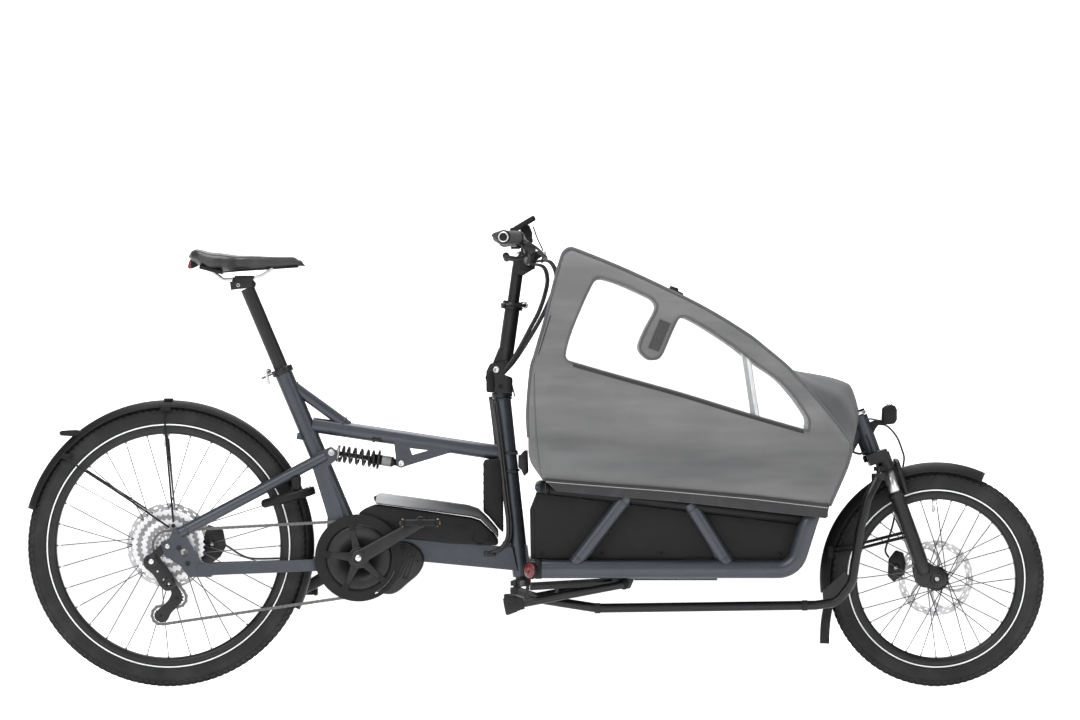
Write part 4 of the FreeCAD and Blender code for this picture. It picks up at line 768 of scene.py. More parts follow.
def hood(edge):
    """Darker nose hood that stands above the edge lines and tapers round the head tube."""
    columns, rows = 90, 41
    crest = smooth_line([Vector((x, 0, z)) for x, z in HOOD_LINE], columns)
    rim = [Vector((x, 0, z)) for x, z in edge if x > 0.598 and z > 0.556]
    rim = spaced(rim, columns)
    verts = []
    for i, (top, foot) in enumerate(zip(crest, rim)):
        half = cover_half(foot.x, foot.z) - EDGE_ROUND * 0.55 + 0.001
        t = i / (columns - 1)
        for k in range(rows):
            u = -1 + 2 * k / (rows - 1)
            shape = (1 - abs(u) ** (2.4 - 0.7 * t))
            crease = 0.004 * math.sin(9 * u * u + 5 * t) * shape * math.sin(math.pi * t)
            spot = foot.lerp(top, shape)
            y = half * u * (1 - 0.22 * shape * (1 - abs(u)) * t)
            verts.append(Vector((spot.x + crease, y, spot.z + 0.5 * crease)))
    mesh = mesh_from("cover_hood", verts, grid_faces(columns, rows))
    cloth = piece("cover_hood", [mesh], "hood_fabric", "frame", slot="cover_fabric")
    solid = cloth.modifiers.new("thick", "SOLIDIFY")
    solid.thickness = 0.0014
    solid.offset = 1
    apply_all(cloth)
    for face in cloth.data.polygons:
        face.use_smooth = True


# ---------------------------------------------------------------- wheels

REAR_AXLE = Vector((-0.870, 0, 0.335))
FRONT_AXLE = Vector((0.957, 0, 0.257))


def polar(centre, radius, angle, y=0.0):
    return centre + Vector((math.cos(angle) * radius, y, math.sin(angle) * radius))


def flat_ring(name, centre, rings, steps, y, thick, keep=None, twist=0.0):
    """Plate with cut-outs: cells of a ring grid that keep() refuses are left open."""
    verts = []
    for i in range(steps):
        for j, radius in enumerate(rings):
            verts.append(polar(centre, radius, TAU * i / steps + twist * j, y))
    cells = grid_faces(steps, len(rings), closed_rows=True, skip=(lambda i, j: not keep(i, j)) if keep else None)
    mesh = mesh_from(name, verts, cells)
    return thicken(mesh, thick)


def thicken(mesh, thick):
    """Gives a flat mesh in the XZ plane a thickness along +Y."""
    work = bmesh.new()
    work.from_mesh(mesh)
    grown = bmesh.ops.extrude_face_region(work, geom=work.faces[:], use_keep_orig=True)
    moved = [v for v in grown["geom"] if isinstance(v, bmesh.types.BMVert)]
    bmesh.ops.translate(work, verts=moved, vec=(0, thick, 0))
    loose = [v for v in work.verts if not v.link_faces]
    bmesh.ops.delete(work, geom=loose, context="VERTS")
    bmesh.ops.recalc_face_normals(work, faces=work.faces[:])
    work.to_mesh(mesh)
    work.free()
    return mesh


def toothed(centre, root, tip, teeth, y, thick, bore, windows=0, window_span=(0.45, 0.8)):
    """Sprocket plate: teeth round the edge, bore and weight-saving windows."""
    steps = teeth * 4
    outline = []
    for i in range(steps):
        phase = i % 4
        outline.append(tip if phase == 1 else root + (tip - root) * (0.15 if phase in (0, 2) else -0.25))
    inner = bore
    low, high = (inner + (root - inner) * s for s in window_span)
    rings_at = [inner, low, high, root - 0.002]
    verts = []
    for i in range(steps):
        turn = TAU * i / steps
        for radius in rings_at:
            verts.append(polar(centre, radius, turn, y))
        verts.append(polar(centre, outline[i], turn, y))
    gap = steps / windows if windows else 0

    def skip(i, j):
        return bool(windows) and j == 1 and (i % gap) / gap > 0.3

    mesh = mesh_from("sprocket", verts, grid_faces(steps, 5, closed_rows=True, skip=skip))
    return thicken(mesh, thick)


def wheel(tag, axle, radius, body, spokes):
    """Tyre with tread blocks and reflective rings, rim, laced spokes with nipples, and valve."""
    crown = radius
    bead = radius - 0.0502
    half = 0.0275
    casing = []
    for k in range(25):
        turn = math.radians(-128 + 256 * k / 24)
        bulge = 1.0 - 0.03 * math.cos(turn * 2)
        casing.append((radius - half - 0.0008 + math.cos(turn) * (half - 0.0012) * bulge,
                       math.sin(turn) * (half - 0.0004)))
    inner = [(r - 0.004 * math.cos(math.radians(-128 + 256 * k / 24)), o * 0.86)
             for k, (r, o) in enumerate(casing)][::-1]
    meshes = [lathe("casing", casing + inner, axle, 144)]
    blocks = []
    count = int(TAU * radius / 0.0165)
    for row, (offset, size_y, lean) in enumerate(((-0.0205, 0.008, 0.5), (-0.0105, 0.0075, -0.3), (0.0, 0.0062, 0.0),
                                                  (0.0105, 0.0075, 0.3), (0.0205, 0.008, -0.5))):
        phase = (row % 2) * 0.5
        sink = half - math.sqrt(max(0.0, half * half - offset * offset))
        tilt = math.asin(offset / half)
        for i in range(count):
            turn = TAU * (i + phase) / count
            out = radius - sink * 0.94 - 0.0011
            along = 0.0058 if row in (0, 4) else 0.0066
            corners = []
            for dr in (-0.0022, 0.0010):
                shrink = 1.0 if dr < 0 else 0.86
                for a, b in ((-1, -1), (1, -1), (1, 1), (-1, 1)):
                    dy = b * size_y * 0.5 * shrink
                    dt = (a * along * shrink + lean * dy) / radius
                    reach = out + dr * math.cos(tilt) - dy * math.tan(tilt) * 0.85
                    corners.append(polar(axle, min(reach, crown - 0.0001), turn + dt,
                                         offset + dy + dr * math.sin(tilt)))
            blocks.append(corners)
    verts, faces = [], []
    for corners in blocks:
        base = len(verts)
        verts += corners
        faces += [tuple(base + k for k in f) for f in ((4, 5, 6, 7), (0, 1, 5, 4), (1, 2, 6, 5), (2, 3, 7, 6),
                                                       (3, 0, 4, 7), (3, 2, 1, 0))]
    meshes.append(mesh_from("tread", verts, faces))
    piece(tag + "_tyre_casing", [meshes[0]], "tyre_rubber", body, [tag + "_tyre"])
    piece(tag + "_tyre_tread", [meshes[1]], "tyre_rubber", body, smooth=False)
    bands = []
    for side in (-1, 1):
        for reach, wide in ((0.0465, 0.0017), ):
            r = radius - reach
            y = math.sqrt(max(1e-6, (half - 0.0004) ** 2 - (r - (radius - half - 0.0008)) ** 2)) + 0.0003
            bands.append(lathe("band", [(r - wide, side * (y - 0.0028)), (r - wide * 0.9, side * (y - 0.0014)),
                                        (r + wide * 0.9, side * (y + 0.0001)), (r + wide, side * (y - 0.0013))],
                               axle, 144))
        lines = []
        for reach in (0.0125, 0.0300):
            r = radius - reach
            y = math.sqrt(max(1e-6, (half - 0.0004) ** 2 - (r - (radius - half - 0.0008)) ** 2))
            lines.append(lathe("line", [(r - 0.0006, side * (y - 0.001)), (r, side * (y + 0.0004)),
                                        (r + 0.0006, side * (y - 0.001))], axle, 144))
        bands_dark = join_meshes("lines", lines)
        piece(f"{tag}_tyre_line{side}", [bands_dark], "tyre_rubber", body)
    piece(tag + "_reflex_band", bands, "reflex_white", body, slot="tyre_rubber")
    seat = bead + 0.0022
    hoop = [(seat + 0.0030, -0.0155), (seat + 0.0040, -0.0146), (seat + 0.0030, -0.0135), (seat - 0.0045, -0.0125),
            (seat - 0.0060, -0.0105), (seat - 0.0085, -0.0055), (seat - 0.0085, 0.0055), (seat - 0.0060, 0.0105),
            (seat - 0.0045, 0.0125), (seat + 0.0030, 0.0135), (seat + 0.0040, 0.0146), (seat + 0.0030, 0.0155),
            (seat - 0.0120, 0.0152), (seat - 0.0165, 0.0138), (seat - 0.0205, 0.0085), (seat - 0.0213, 0.0040),
            (seat - 0.0213, -0.0040), (seat - 0.0205, -0.0085), (seat - 0.0165, -0.0138), (seat - 0.0120, -0.0152)]
    piece(tag + "_rim_hoop", [lathe("hoop", hoop, axle, 144)], "black_metal", body, [tag + "_rim"])
    inner_rim = seat - 0.0213
    wires, nipples = [], []
    for i in range(spokes):
        side = 1 if i % 2 else -1
        lace = 1 if (i // 2) % 2 else -1
        turn = TAU * i / spokes
        root = polar(axle, 0.0245, turn + lace * math.radians(68), side * (0.0305 + 0.0008 * lace))
        end = polar(axle, inner_rim + 0.001, turn, side * 0.004)
        wires.append(sweep("wire", [root, root.lerp(end, 0.5), end], 0.0012, 6))
        nipples.append(sweep("nipple", [root.lerp(end, 0.955), root.lerp(end, 1.0)], [0.0019, 0.0023], 8))
    piece(tag + "_spokes", wires, "spoke_steel", body, slot="bare_steel")
    piece(tag + "_nipples", nipples, "bare_alloy", body)
    turn = math.radians(92)
    valve = [polar(axle, inner_rim + 0.001, turn), polar(axle, inner_rim - 0.006, turn),
             polar(axle, inner_rim - 0.007, turn), polar(axle, inner_rim - 0.022, turn),
             polar(axle, inner_rim - 0.023, turn), polar(axle, inner_rim - 0.030, turn)]
    piece(tag + "_valve", [sweep("valve", valve, [0.0042, 0.0042, 0.003, 0.003, 0.0042, 0.0036], 12)],
          "bare_alloy", body)


def hub_set(tag, axle, body, disc_radius, disc_y, half_width):
    """Hub shell with flanges, axle ends, and the slotted brake rotor on its carrier."""
    shell = [(0.0061, -0.034), (0.017, -0.034), (0.019, -0.0325), (0.029, -0.0300), (0.0292, -0.0272),
             (0.0290, -0.0250), (0.0205, -0.0225), (0.0165, -0.0160), (0.0150, 0), (0.0165, 0.0160),
             (0.0205, 0.0225), (0.0290, 0.0250), (0.0292, 0.0272), (0.029, 0.0300), (0.019, 0.0325),
             (0.0175, disc_y - 0.002), (0.0061, disc_y - 0.002)]
    piece(tag + "_hub_shell", [lathe("shell", shell, axle, 64)], "black_metal", body, [tag + "_hub"])
    spindle = [(0.0005, -half_width), (0.0052, -half_width), (0.0060, -half_width + 0.001),
               (0.0060, half_width - 0.001), (0.0052, half_width), (0.0005, half_width)]
    piece(tag + "_hub_axle", [lathe("axle", spindle, axle, 32)], "bare_steel", body)
    rings = [disc_radius - 0.0170, disc_radius - 0.0150, disc_radius - 0.0118, disc_radius - 0.0085,
             disc_radius - 0.0052, disc_radius - 0.0020, disc_radius]

    def keep(i, j):
        if j in (1, 3):
            return (i + (3 if j == 1 else 0)) % 8 > 2
        if j == 5:
            return i % 16 > 3
        return True

    band = flat_ring("rotor", axle, rings, 192, disc_y, 0.0018, keep, twist=0.012)
    arms = []
    for k in range(6):
        turn = TAU * k / 6 + 0.26
        path = [polar(axle, 0.020 + (disc_radius - 0.0345) * t, turn + 0.5 * t * t, disc_y + 0.0009)
                for t in [s / 10 for s in range(11)]]
        arms.append(sweep("arm", path, [(0.0009, 0.0048 - 0.0016 * math.sin(math.pi * s / 10)) for s in range(11)], 8))
    piece(tag + "_rotor", [band] + arms, "bare_steel", body, smooth=False)
    spider = [(0.0070, disc_y - 0.001), (0.0270, disc_y - 0.0006), (0.0282, disc_y + 0.0006),
              (0.0270, disc_y + 0.0022), (0.0185, disc_y + 0.0034), (0.0070, disc_y + 0.0034)]
    bolts = [lathe("spider", spider, axle, 48)]
    for k in range(6):
        centre = polar(axle, 0.0222, TAU * k / 6 + 0.2, disc_y + 0.0022)
        bolts.append(lathe("bolt", [(0.0002, 0.0030), (0.0030, 0.0030), (0.0036, 0.0022), (0.0036, 0.0)], centre, 14,
                           closed=False))
    piece(tag + "_rotor_spider", bolts, "bare_alloy", body)


# ---------------------------------------------------------------- drive

CRANK = Vector((-0.417, 0, 0.307))
GUIDE = Vector((-0.848, 0, 0.212))
TENSION = Vector((-0.886, 0, 0.171))
LINE = -0.051
LINK = 0.0127


def rounded_bar(name, start, end, wide, tall, shape, count=14):
    """Bar between two points whose width and height follow shape(t), with soft edges."""
    ahead = (end - start).normalized()
    side = Vector((0, 1, 0))
    up = ahead.cross(side).normalized()
    verts = []
    corners = []
    for k in range(20):
        turn = TAU * k / 20
        c, s = math.cos(turn), math.sin(turn)
        corners.append((math.copysign(abs(c) ** 0.45, c), math.copysign(abs(s) ** 0.45, s)))
    for i in range(count):
        t = i / (count - 1)
        fw, ft = shape(t)
        for a, b in corners:
            verts.append(start.lerp(end, t) + side * (a * wide * fw / 2) + up * (b * tall * ft / 2))
    faces = grid_faces(count, 20, closed_columns=True)
    faces += [tuple(range(20))[::-1], tuple((count - 1) * 20 + k for k in range(20))]
    return mesh_from(name, verts, faces)


def cogs():
    """Stepped cog stack with teeth, weight windows and lock ring."""
    small, large = [], []
    sizes = [(0.0150, 11), (0.0200, 13), (0.0260, 15), (0.0315, 18), (0.0430, 22), (0.0540, 26), (0.0660, 32),
             (0.0770, 37), (0.0880, 42)]
    for index, (tip, teeth) in enumerate(sizes):
        y = LINE + (index - 3) * 0.0036 - 0.0008
        windows = 0 if tip < 0.03 else 6 if tip < 0.06 else 9
        plates = small if len(small) <= len(large) else large
        plates.append(toothed(REAR_AXLE, tip - 0.0042, tip, teeth, y, 0.0016, 0.0125, windows, (0.25, 0.72)))
    bodies = [(0.0062, LINE - 0.0130), (0.0125, LINE - 0.0130), (0.0130, LINE - 0.0122), (0.0130, LINE + 0.0170),
              (0.0062, LINE + 0.0170)]
    small.append(lathe("cog_body", bodies, REAR_AXLE, 48))
    piece("cog_stack", small, "bare_alloy", "cassette", ["cassette"], "bare_steel", smooth=False)
    piece("cog_stack_large", large, "cog_steel", "cassette", slot="bare_steel", smooth=False)
    lock = [(0.0062, LINE - 0.0132), (0.0120, LINE - 0.0136), (0.0132, LINE - 0.0150), (0.0128, LINE - 0.0170),
            (0.0085, LINE - 0.0172), (0.0062, LINE - 0.0160)]
    piece("cog_lock_ring", [lathe("lock", lock, REAR_AXLE, 48)], "bare_alloy", "cassette")


def crankset():
    """Toothed ring on a five-arm spider, guard ring with windows, shaped arms and axle caps."""
    ring_mesh = toothed(CRANK, 0.0835, 0.0893 - 0.0005, 44, LINE - 0.0012, 0.0024, 0.0700)
    spider = []
    for k in range(5):
        turn = TAU * k / 5 + math.radians(30)
        start, end = polar(CRANK, 0.016, turn, LINE - 0.0042), polar(CRANK, 0.0795, turn, LINE - 0.0042)
        spider.append(rounded_bar("leg", start, end, 0.0052, 0.020,
                                  lambda t: (1.0, 1.15 - 0.75 * t + 0.35 * max(0, t - 0.8) * 5)))
        bolt = polar(CRANK, 0.0755, turn, LINE - 0.0068)
        spider.append(lathe("bolt", [(0.0002, -0.0022), (0.0036, -0.0022), (0.0046, -0.0012), (0.0046, 0.0022)],
                            bolt, 14, closed=False))
    spider.append(lathe("web", [(0.0240, LINE - 0.0036), (0.0700, LINE - 0.0036), (0.0790, LINE - 0.0030),
                                (0.0790, LINE - 0.0018), (0.0240, LINE - 0.0018)], CRANK, 96))
    spider.append(lathe("boss", [(0.0124, LINE - 0.0080), (0.0240, LINE - 0.0080), (0.0262, LINE - 0.0062),
                                 (0.0250, LINE - 0.0020), (0.0124, LINE - 0.0020)], CRANK, 48))
    piece("chainring_teeth", [ring_mesh], "black_metal", "crank", ["chainring"], smooth=False)
    piece("chainring_spider", spider, "black_metal", "crank")

    def keep(i, j):
        return not (j == 1 and i in range(118, 136))

    guard = flat_ring("guard", CRANK, [0.0815, 0.0900, 0.0945, 0.0985, 0.1036], 144, LINE - 0.0092, 0.0030, keep)
    tabs = []
    for k in range(5):
        turn = TAU * k / 5 + math.radians(30)
        start, end = (polar(CRANK, reach, turn, LINE - 0.0080) for reach in (0.066, 0.087))
        tabs.append(rounded_bar("tab", start, end, 0.003, 0.016, lambda t: (1.0, 0.7 + 0.5 * t)))
    piece("chain_guard", [guard] + tabs, "black_plastic", "crank", smooth=False)
    arms, caps = [], []
    turn = math.radians(30)
    for side in (-1, 1):
        y = side * 0.088
        out = Vector((math.cos(turn), 0, math.sin(turn))) * -side
        eye = CRANK + out * 0.170
        start, end = CRANK + Vector((0, y, 0)), eye + Vector((0, y, 0))
        arms.append(rounded_bar("arm", start, end, 0.0135, 0.030,
                                lambda t: (1.0 - 0.12 * math.sin(math.pi * t), 1.18 - 0.34 * t), 18))
        for centre, radius in ((start, 0.0195), (end, 0.0142)):
            profile = [(0.0052, -0.0068), (radius - 0.0016, -0.0068), (radius, -0.0052), (radius, 0.0052),
                       (radius - 0.0016, 0.0068), (0.0052, 0.0068)]
            arms.append(lathe("eye", profile, centre, 40))
        cap = [(0.0002, side * 0.0084), (0.0062, side * 0.0084), (0.0074, side * 0.0076), (0.0074, side * 0.0040)]
        caps.append(lathe("cap", cap, start, 32, closed=False))
    arms.append(lathe("spindle", [(0.0004, -0.083), (0.0118, -0.083), (0.0118, 0.083), (0.0004, 0.083)], CRANK, 40))
    piece("crank_caps", caps, "bare_alloy", "crank")
    piece("crank_arms", arms, "black_metal", "crank", ["crankset"])


def pedals():
    """Platform pedals: side plates, cross bars, grip pins, spindle boss and reflectors."""
    turn = math.radians(30)
    for side, tag in ((-1, "right"), (1, "left")):
        tip = CRANK + Vector((math.cos(turn), 0, math.sin(turn))) * (0.170 * -side)
        mid = tip + Vector((0, side * 0.150, 0))
        parts = [lathe("barrel", [(0.0006, -0.047), (0.0082, -0.047), (0.0088, -0.045), (0.0080, 0.0), (0.0072, 0.044),
                                  (0.0060, 0.047), (0.0006, 0.047)], mid, 28)]
        parts.append(sweep("spindle", [tip + Vector((0, side * 0.0825, 0)), tip + Vector((0, side * 0.110, 0))],
                           0.0048, 16))
        for place in (-1, 1):
            for end in (-1, 1):
                parts.append(box_mesh("web", mid + Vector((place * 0.020, end * 0.040, 0)), (0.034, 0.010, 0.014),
                                      bevel=0.0025))
            parts.append(box_mesh("edge", mid + Vector((place * 0.0415, 0, 0)), (0.010, 0.094, 0.0165), bevel=0.003))
        piece("pedal_platform_" + tag, parts, "black_plastic", "pedal_" + tag, ["pedal_" + tag])
        pins = []
        for place in (-1, 1):
            for step in range(5):
                for up in (-1, 1):
                    foot = mid + Vector((place * 0.0415, -0.036 + 0.018 * step, up * 0.0078))
                    pins.append(sweep("pin", [foot, foot + Vector((0, 0, up * 0.0012))], [0.0018, 0.0014], 8))
        piece("pedal_pins_" + tag, pins, "bare_steel", "pedal_" + tag)
        glass = [box_mesh("reflector", mid + Vector((place * 0.0466, 0, 0)), (0.0012, 0.050, 0.009), bevel=0.0005)
                 for place in (-1, 1)]
        piece("pedal_reflectors_" + tag, glass, "reflector_amber", "pedal_" + tag, slot="black_plastic")


def belt_path():
    """Centre line of the chain round chainring, tension pulley, guide pulley and cog."""
    rounds = [(CRANK, 0.0886, 1), (TENSION, 0.0221, 1), (GUIDE, 0.0221, -1), (REAR_AXLE, 0.0361, 1)]
    joints = []
    for index, (centre, radius, way) in enumerate(rounds):
        goal, goal_radius, goal_way = rounds[(index + 1) % 4]
        gap = goal - centre
        swing = math.asin((way * radius - goal_way * goal_radius) / math.hypot(gap.x, gap.z))
        normal = math.atan2(gap.z, gap.x) - swing + math.pi / 2
        joints.append((polar(centre, way * radius, normal), polar(goal, goal_way * goal_radius, normal)))
    line = []
    for index, (centre, radius, way) in enumerate(rounds):
        arrive, leave = joints[index - 1][1], joints[index][0]
        begin = math.atan2(arrive.z - centre.z, arrive.x - centre.x)
        end = math.atan2(leave.z - centre.z, leave.x - centre.x)
        sweep_by = (begin - end) % TAU if way > 0 else -((end - begin) % TAU)
        line += [polar(centre, radius, begin - sweep_by * k / 40) for k in range(41)]
        line.append(joints[index][1])
    return line


def chain():
    """Roller chain: inner and outer plate pairs with waisted outlines, and pins with rollers."""
    line = belt_path()
    total = sum((b - a).length for a, b in zip(line, line[1:]))
    count = 2 * round(total / LINK / 2)
    pins = spaced(line + [line[0]], count + 1)[:-1]
    plates, rollers = [], []
    for index, pin in enumerate(pins):
        after = pins[(index + 1) % count]
        ahead = (after - pin).normalized()
        up = Vector((-ahead.z, 0, ahead.x))
        outer = index % 2
        y = 0.0026 if outer else 0.0017
        for side in (-1, 1):
            ring = []
            for k in range(16):
                turn = TAU * k / 16
                centre = pin if math.cos(turn) < 0 else after
                narrow = 0.0040 if abs(math.cos(turn)) > 0.35 else 0.0030
                ring.append(centre + ahead * (math.cos(turn) * 0.0040) + up * (math.sin(turn) * narrow)
                            + Vector((0, LINE + side * y - 0.0004, 0)))
            low = mesh_from("plate", ring, [tuple(range(16))])
            plates.append(thicken(low, 0.0008))
        rollers.append(sweep("roller", [pin + Vector((0, LINE - 0.0031, 0)), pin + Vector((0, LINE + 0.0031, 0))],
                             0.0020, 8))
        rollers.append(sweep("roller", [pin + Vector((0, LINE - 0.0012, 0)), pin + Vector((0, LINE + 0.0012, 0))],
                             0.0036, 10))
    links = piece("chain_links", plates + rollers, "chain_steel", None, ["chain"], "bare_steel", smooth=False)
    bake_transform(links)


def derailleur():
    """Rear mechanism: mounting knuckle, parallelogram with links, cage plates, toothed pulleys."""
    parts = [lathe("knuckle_b", [(0.0005, -0.010), (0.0125, -0.010), (0.0145, -0.008), (0.0145, 0.008),
                                 (0.0005, 0.008)], Vector((-0.905, -0.090, 0.298)), 36)]
    outline = [(-0.922, 0.311), (-0.900, 0.316), (-0.884, 0.300), (-0.858, 0.268), (-0.850, 0.246), (-0.858, 0.232),
               (-0.874, 0.230), (-0.886, 0.240), (-0.904, 0.268), (-0.925, 0.288)]
    line = [(p.x, p.z) for p in smooth_line([Vector((x, 0, z)) for x, z in outline], 48, closed=True)[:-1]]
    parts.append(prism_mesh("link", line, -0.0965, -0.0845, 0.002))
    parts.append(prism_mesh("hanger", [(-0.880, 0.318), (-0.886, 0.340), (-0.920, 0.306), (-0.916, 0.288),
                                       (-0.898, 0.290)], -0.0895, -0.0842, 0.0012))
    parts.append(lathe("knuckle_p", [(0.0053, -0.0130), (0.0120, -0.0130), (0.0142, -0.0110), (0.0142, 0.0075),
                                     (0.0053, 0.0075)], Vector((-0.866, -0.0910, 0.246)), 36))
    piece("derailleur_body", parts, "black_metal", "swingarm", ["derailleur"])
    bolts = []
    for x, z, r in ((-0.908, 0.299, 0.0062), (-0.866, 0.246, 0.0050), (-0.893, 0.276, 0.0026),
                    (-0.878, 0.256, 0.0026)):
        bolts.append(lathe("bolt", [(0.0003, -0.0024), (r * 0.45, -0.0024), (r * 0.5, -0.0012), (r * 0.85, -0.0014),
                                    (r, -0.0004), (r, 0.0024)], Vector((x, -0.1005 if r > 0.004 else -0.0970, z)), 20,
                           closed=False))
    piece("derailleur_bolts", bolts, "bare_alloy", "swingarm")
    plates = []
    outline = [(-0.864, 0.256), (-0.846, 0.238), (-0.8375, 0.222), (-0.8370, 0.204), (-0.848, 0.190),
               (-0.862, 0.176), (-0.872, 0.158), (-0.886, 0.1535), (-0.900, 0.162), (-0.9005, 0.177), (-0.886, 0.190),
               (-0.868, 0.208), (-0.862, 0.226), (-0.874, 0.242), (-0.877, 0.252)]
    line = [(p.x, p.z) for p in smooth_line([Vector((x, 0, z)) for x, z in outline], 64, closed=True)[:-1]]
    for y in (LINE - 0.0070, LINE + 0.0052):
        plates.append(prism_mesh("cage", line, y, y + 0.0018, 0.0005))
    plates.append(sweep("cage_pin", [Vector((-0.866, -0.0965, 0.246)), Vector((-0.866, LINE + 0.004, 0.246))],
                        0.0048, 20))
    piece("derailleur_plates", plates, "black_metal", "derailleur_cage", ["derailleur_cage"], smooth=False)
    for centre, tag in ((GUIDE, "guide_pulley"), (TENSION, "tension_pulley")):
        cog = toothed(centre, 0.0135, 0.0174, 11, LINE - 0.0016, 0.0032, 0.0040, 5, (0.3, 0.7))
        axle = sweep("pin", [centre + Vector((0, LINE - 0.0078, 0)), centre + Vector((0, LINE + 0.0074, 0))], 0.0039,
                     16)
        piece(tag + "_wheel", [cog, axle], "black_plastic", tag, [tag], smooth=False)


# ---------------------------------------------------------------- fenders, fork, brakes and fittings

def mm(x, y, z):
    return Vector((x, y, z)) * 0.001


def tube(points, radius, sides=12, count=0):
    """Tube in millimetres through points, run as a smooth curve when a count is given."""
    line = [mm(*p) for p in points]
    if count:
        line = smooth_line(line, count)
    return sweep("tube", line, radius * 0.001, sides)


def spun(profile, foot, ahead, sides=36, closed=True):
    """Turned piece on any axis; profile holds (radius, distance) in millimetres."""
    mesh = lathe("spun", [(r * 0.001, s * 0.001) for r, s in profile], Vector((0, 0, 0)), sides, "Z", closed)
    turn = Vector((0, 0, 1)).rotation_difference(Vector(ahead)).to_matrix().to_4x4()
    mesh.transform(Matrix.Translation(foot) @ turn)
    return mesh


def slab(outline, low, high, bevel=2.0, smooth_count=0):
    """Flat piece in millimetres with an outline of (x, z) corners."""
    if smooth_count:
        line = smooth_line([Vector((x, 0, z)) for x, z in outline], smooth_count, closed=True)[:-1]
        outline = [(p.x, p.z) for p in line]
    return prism_mesh("slab", [(x * 0.001, z * 0.001) for x, z in outline], low * 0.001, high * 0.001,
                      bevel * 0.001)


def bolt(x, y, z, radius, way, height=3.0):
    """Socket-head bolt whose head faces along Y."""
    profile = [(0.3, height * 0.35), (radius * 0.5, height * 0.35), (radius * 0.55, height), (radius * 0.9, height),
               (radius, height * 0.75), (radius, -1.0)]
    return spun(profile, mm(x, y, z), (0, way, 0), 18, closed=False)


def piece(name, meshes, finish, body, replaces=(), slot=None, smooth=True):
    joined = join_meshes(name, meshes) if len(meshes) > 1 else meshes[0]
    return add(name, joined, FINISHES[finish], body, replaces, smooth)


def fender(tag, axle, crown, low, high, body, extras, skirt=0.016):
    """Mudguard of rounded section with rolled edges, plus its stays."""
    rows, across = 110, 23
    verts, rolls = [], {-1: [], 1: []}
    for i in range(rows):
        turn = math.radians(low + (high - low) * i / (rows - 1))
        for shell in (0, 1):
            for k in range(across):
                u = (-1 + 2 * k / (across - 1)) * (-1 if shell else 1)
                reach = crown - skirt * abs(u) ** 3 - 0.0018 * shell
                verts.append(polar(axle, reach, turn, u * (0.0318 - 0.0014 * shell)))
        for side in (-1, 1):
            rolls[side].append(polar(axle, crown - skirt, turn, side * 0.0312))
    faces = grid_faces(rows, 2 * across, closed_columns=True)
    for end in (0, (rows - 1) * 2 * across):
        faces += [(end + k, end + k + 1, end + 2 * across - 2 - k, end + 2 * across - 1 - k)
                  for k in range(across - 1)]
    meshes = [mesh_from("shell", verts, faces)] + [sweep("roll", rolls[side], 0.0016, 8) for side in (-1, 1)]
    piece(tag + "_fender_shell", meshes + extras, "black_plastic", body, [tag + "_fender"])


def rear_fender():
    extras = [slab([(-1128, 597), (-1126, 609), (-1090, 611), (-1068, 606), (-1076, 594)], -24, 24, 3)]
    for side in (-1, 1):
        for points in ([(-866, 85, 380), (-960, 70, 444), (-1068, 50, 514), (-1123, 33, 549)],
                       [(-856, 85, 392), (-866, 72, 500), (-875, 50, 595), (-880, 33, 666)]):
            extras.append(tube([(x, side * y, z) for x, y, z in points], 2.4, 10, 24))
        for x, z in ((-1112, 548), (-876, 662)):
            extras.append(box_mesh("clip", mm(x, side * 33.5, z), (0.024, 0.004, 0.012), bevel=0.0012))
        extras.append(bolt(-856, side * 86, 384, 5, side))
    extras.append(box_mesh("clip", mm(-870, 0, 683), (0.022, 0.040, 0.006), bevel=0.002))
    fender("rear", REAR_AXLE, 0.347, -26, 165, "swingarm", extras)
    lens = [box_mesh("lens", mm(-1128, 0, 603), (0.003, 0.040, 0.009), bevel=0.001)]
    piece("fender_lamp_lens", lens, "reflector_red", "swingarm")


def front_fender():
    extras = []
    for side in (-1, 1):
        for low in (0, 11):
            extras.append(tube([(706, side * 33, 316 + low), (776, side * 42, 329 + low), (840, side * 54, 345 + low),
                                (888, side * 60, 357 + low)], 2.6, 10, 20))
        extras.append(box_mesh("clip", mm(705, side * 33.5, 321), (0.012, 0.004, 0.028), bevel=0.0012))
    rows, across = 12, 9
    verts = []
    for i in range(rows):
        t = i / (rows - 1)
        for shell in (0, 3.2):
            for k in range(across):
                u = (-1 + 2 * k / (across - 1)) * (-1 if shell else 1)
                verts.append(mm(694 - 14 * t - 4 * math.sin(math.pi * t) + 19 * u * u + shell,
                                u * (27 - 2 * t), 214 - 112 * t))
    flap = mesh_from("flap", verts, grid_faces(rows, 2 * across, closed_columns=True)
                     + [tuple(range(2 * across)), tuple((rows - 1) * 2 * across + k for k in range(2 * across))])
    fender("front", FRONT_AXLE, 0.277, 65, 187, "fork_lowers", extras, 0.022)
    piece("mud_flap", [flap], "tyre_rubber", "fork_lowers", slot="black_plastic")


HEAD_LEAN = math.radians(20)
HEAD_DOWN = Vector((math.sin(HEAD_LEAN), 0, -math.cos(HEAD_LEAN)))
HEAD_AHEAD = Vector((math.cos(HEAD_LEAN), 0, math.sin(HEAD_LEAN)))


def head_axis(height):
    return Vector((0.778 - math.tan(HEAD_LEAN) * (height - 0.625), 0, height))


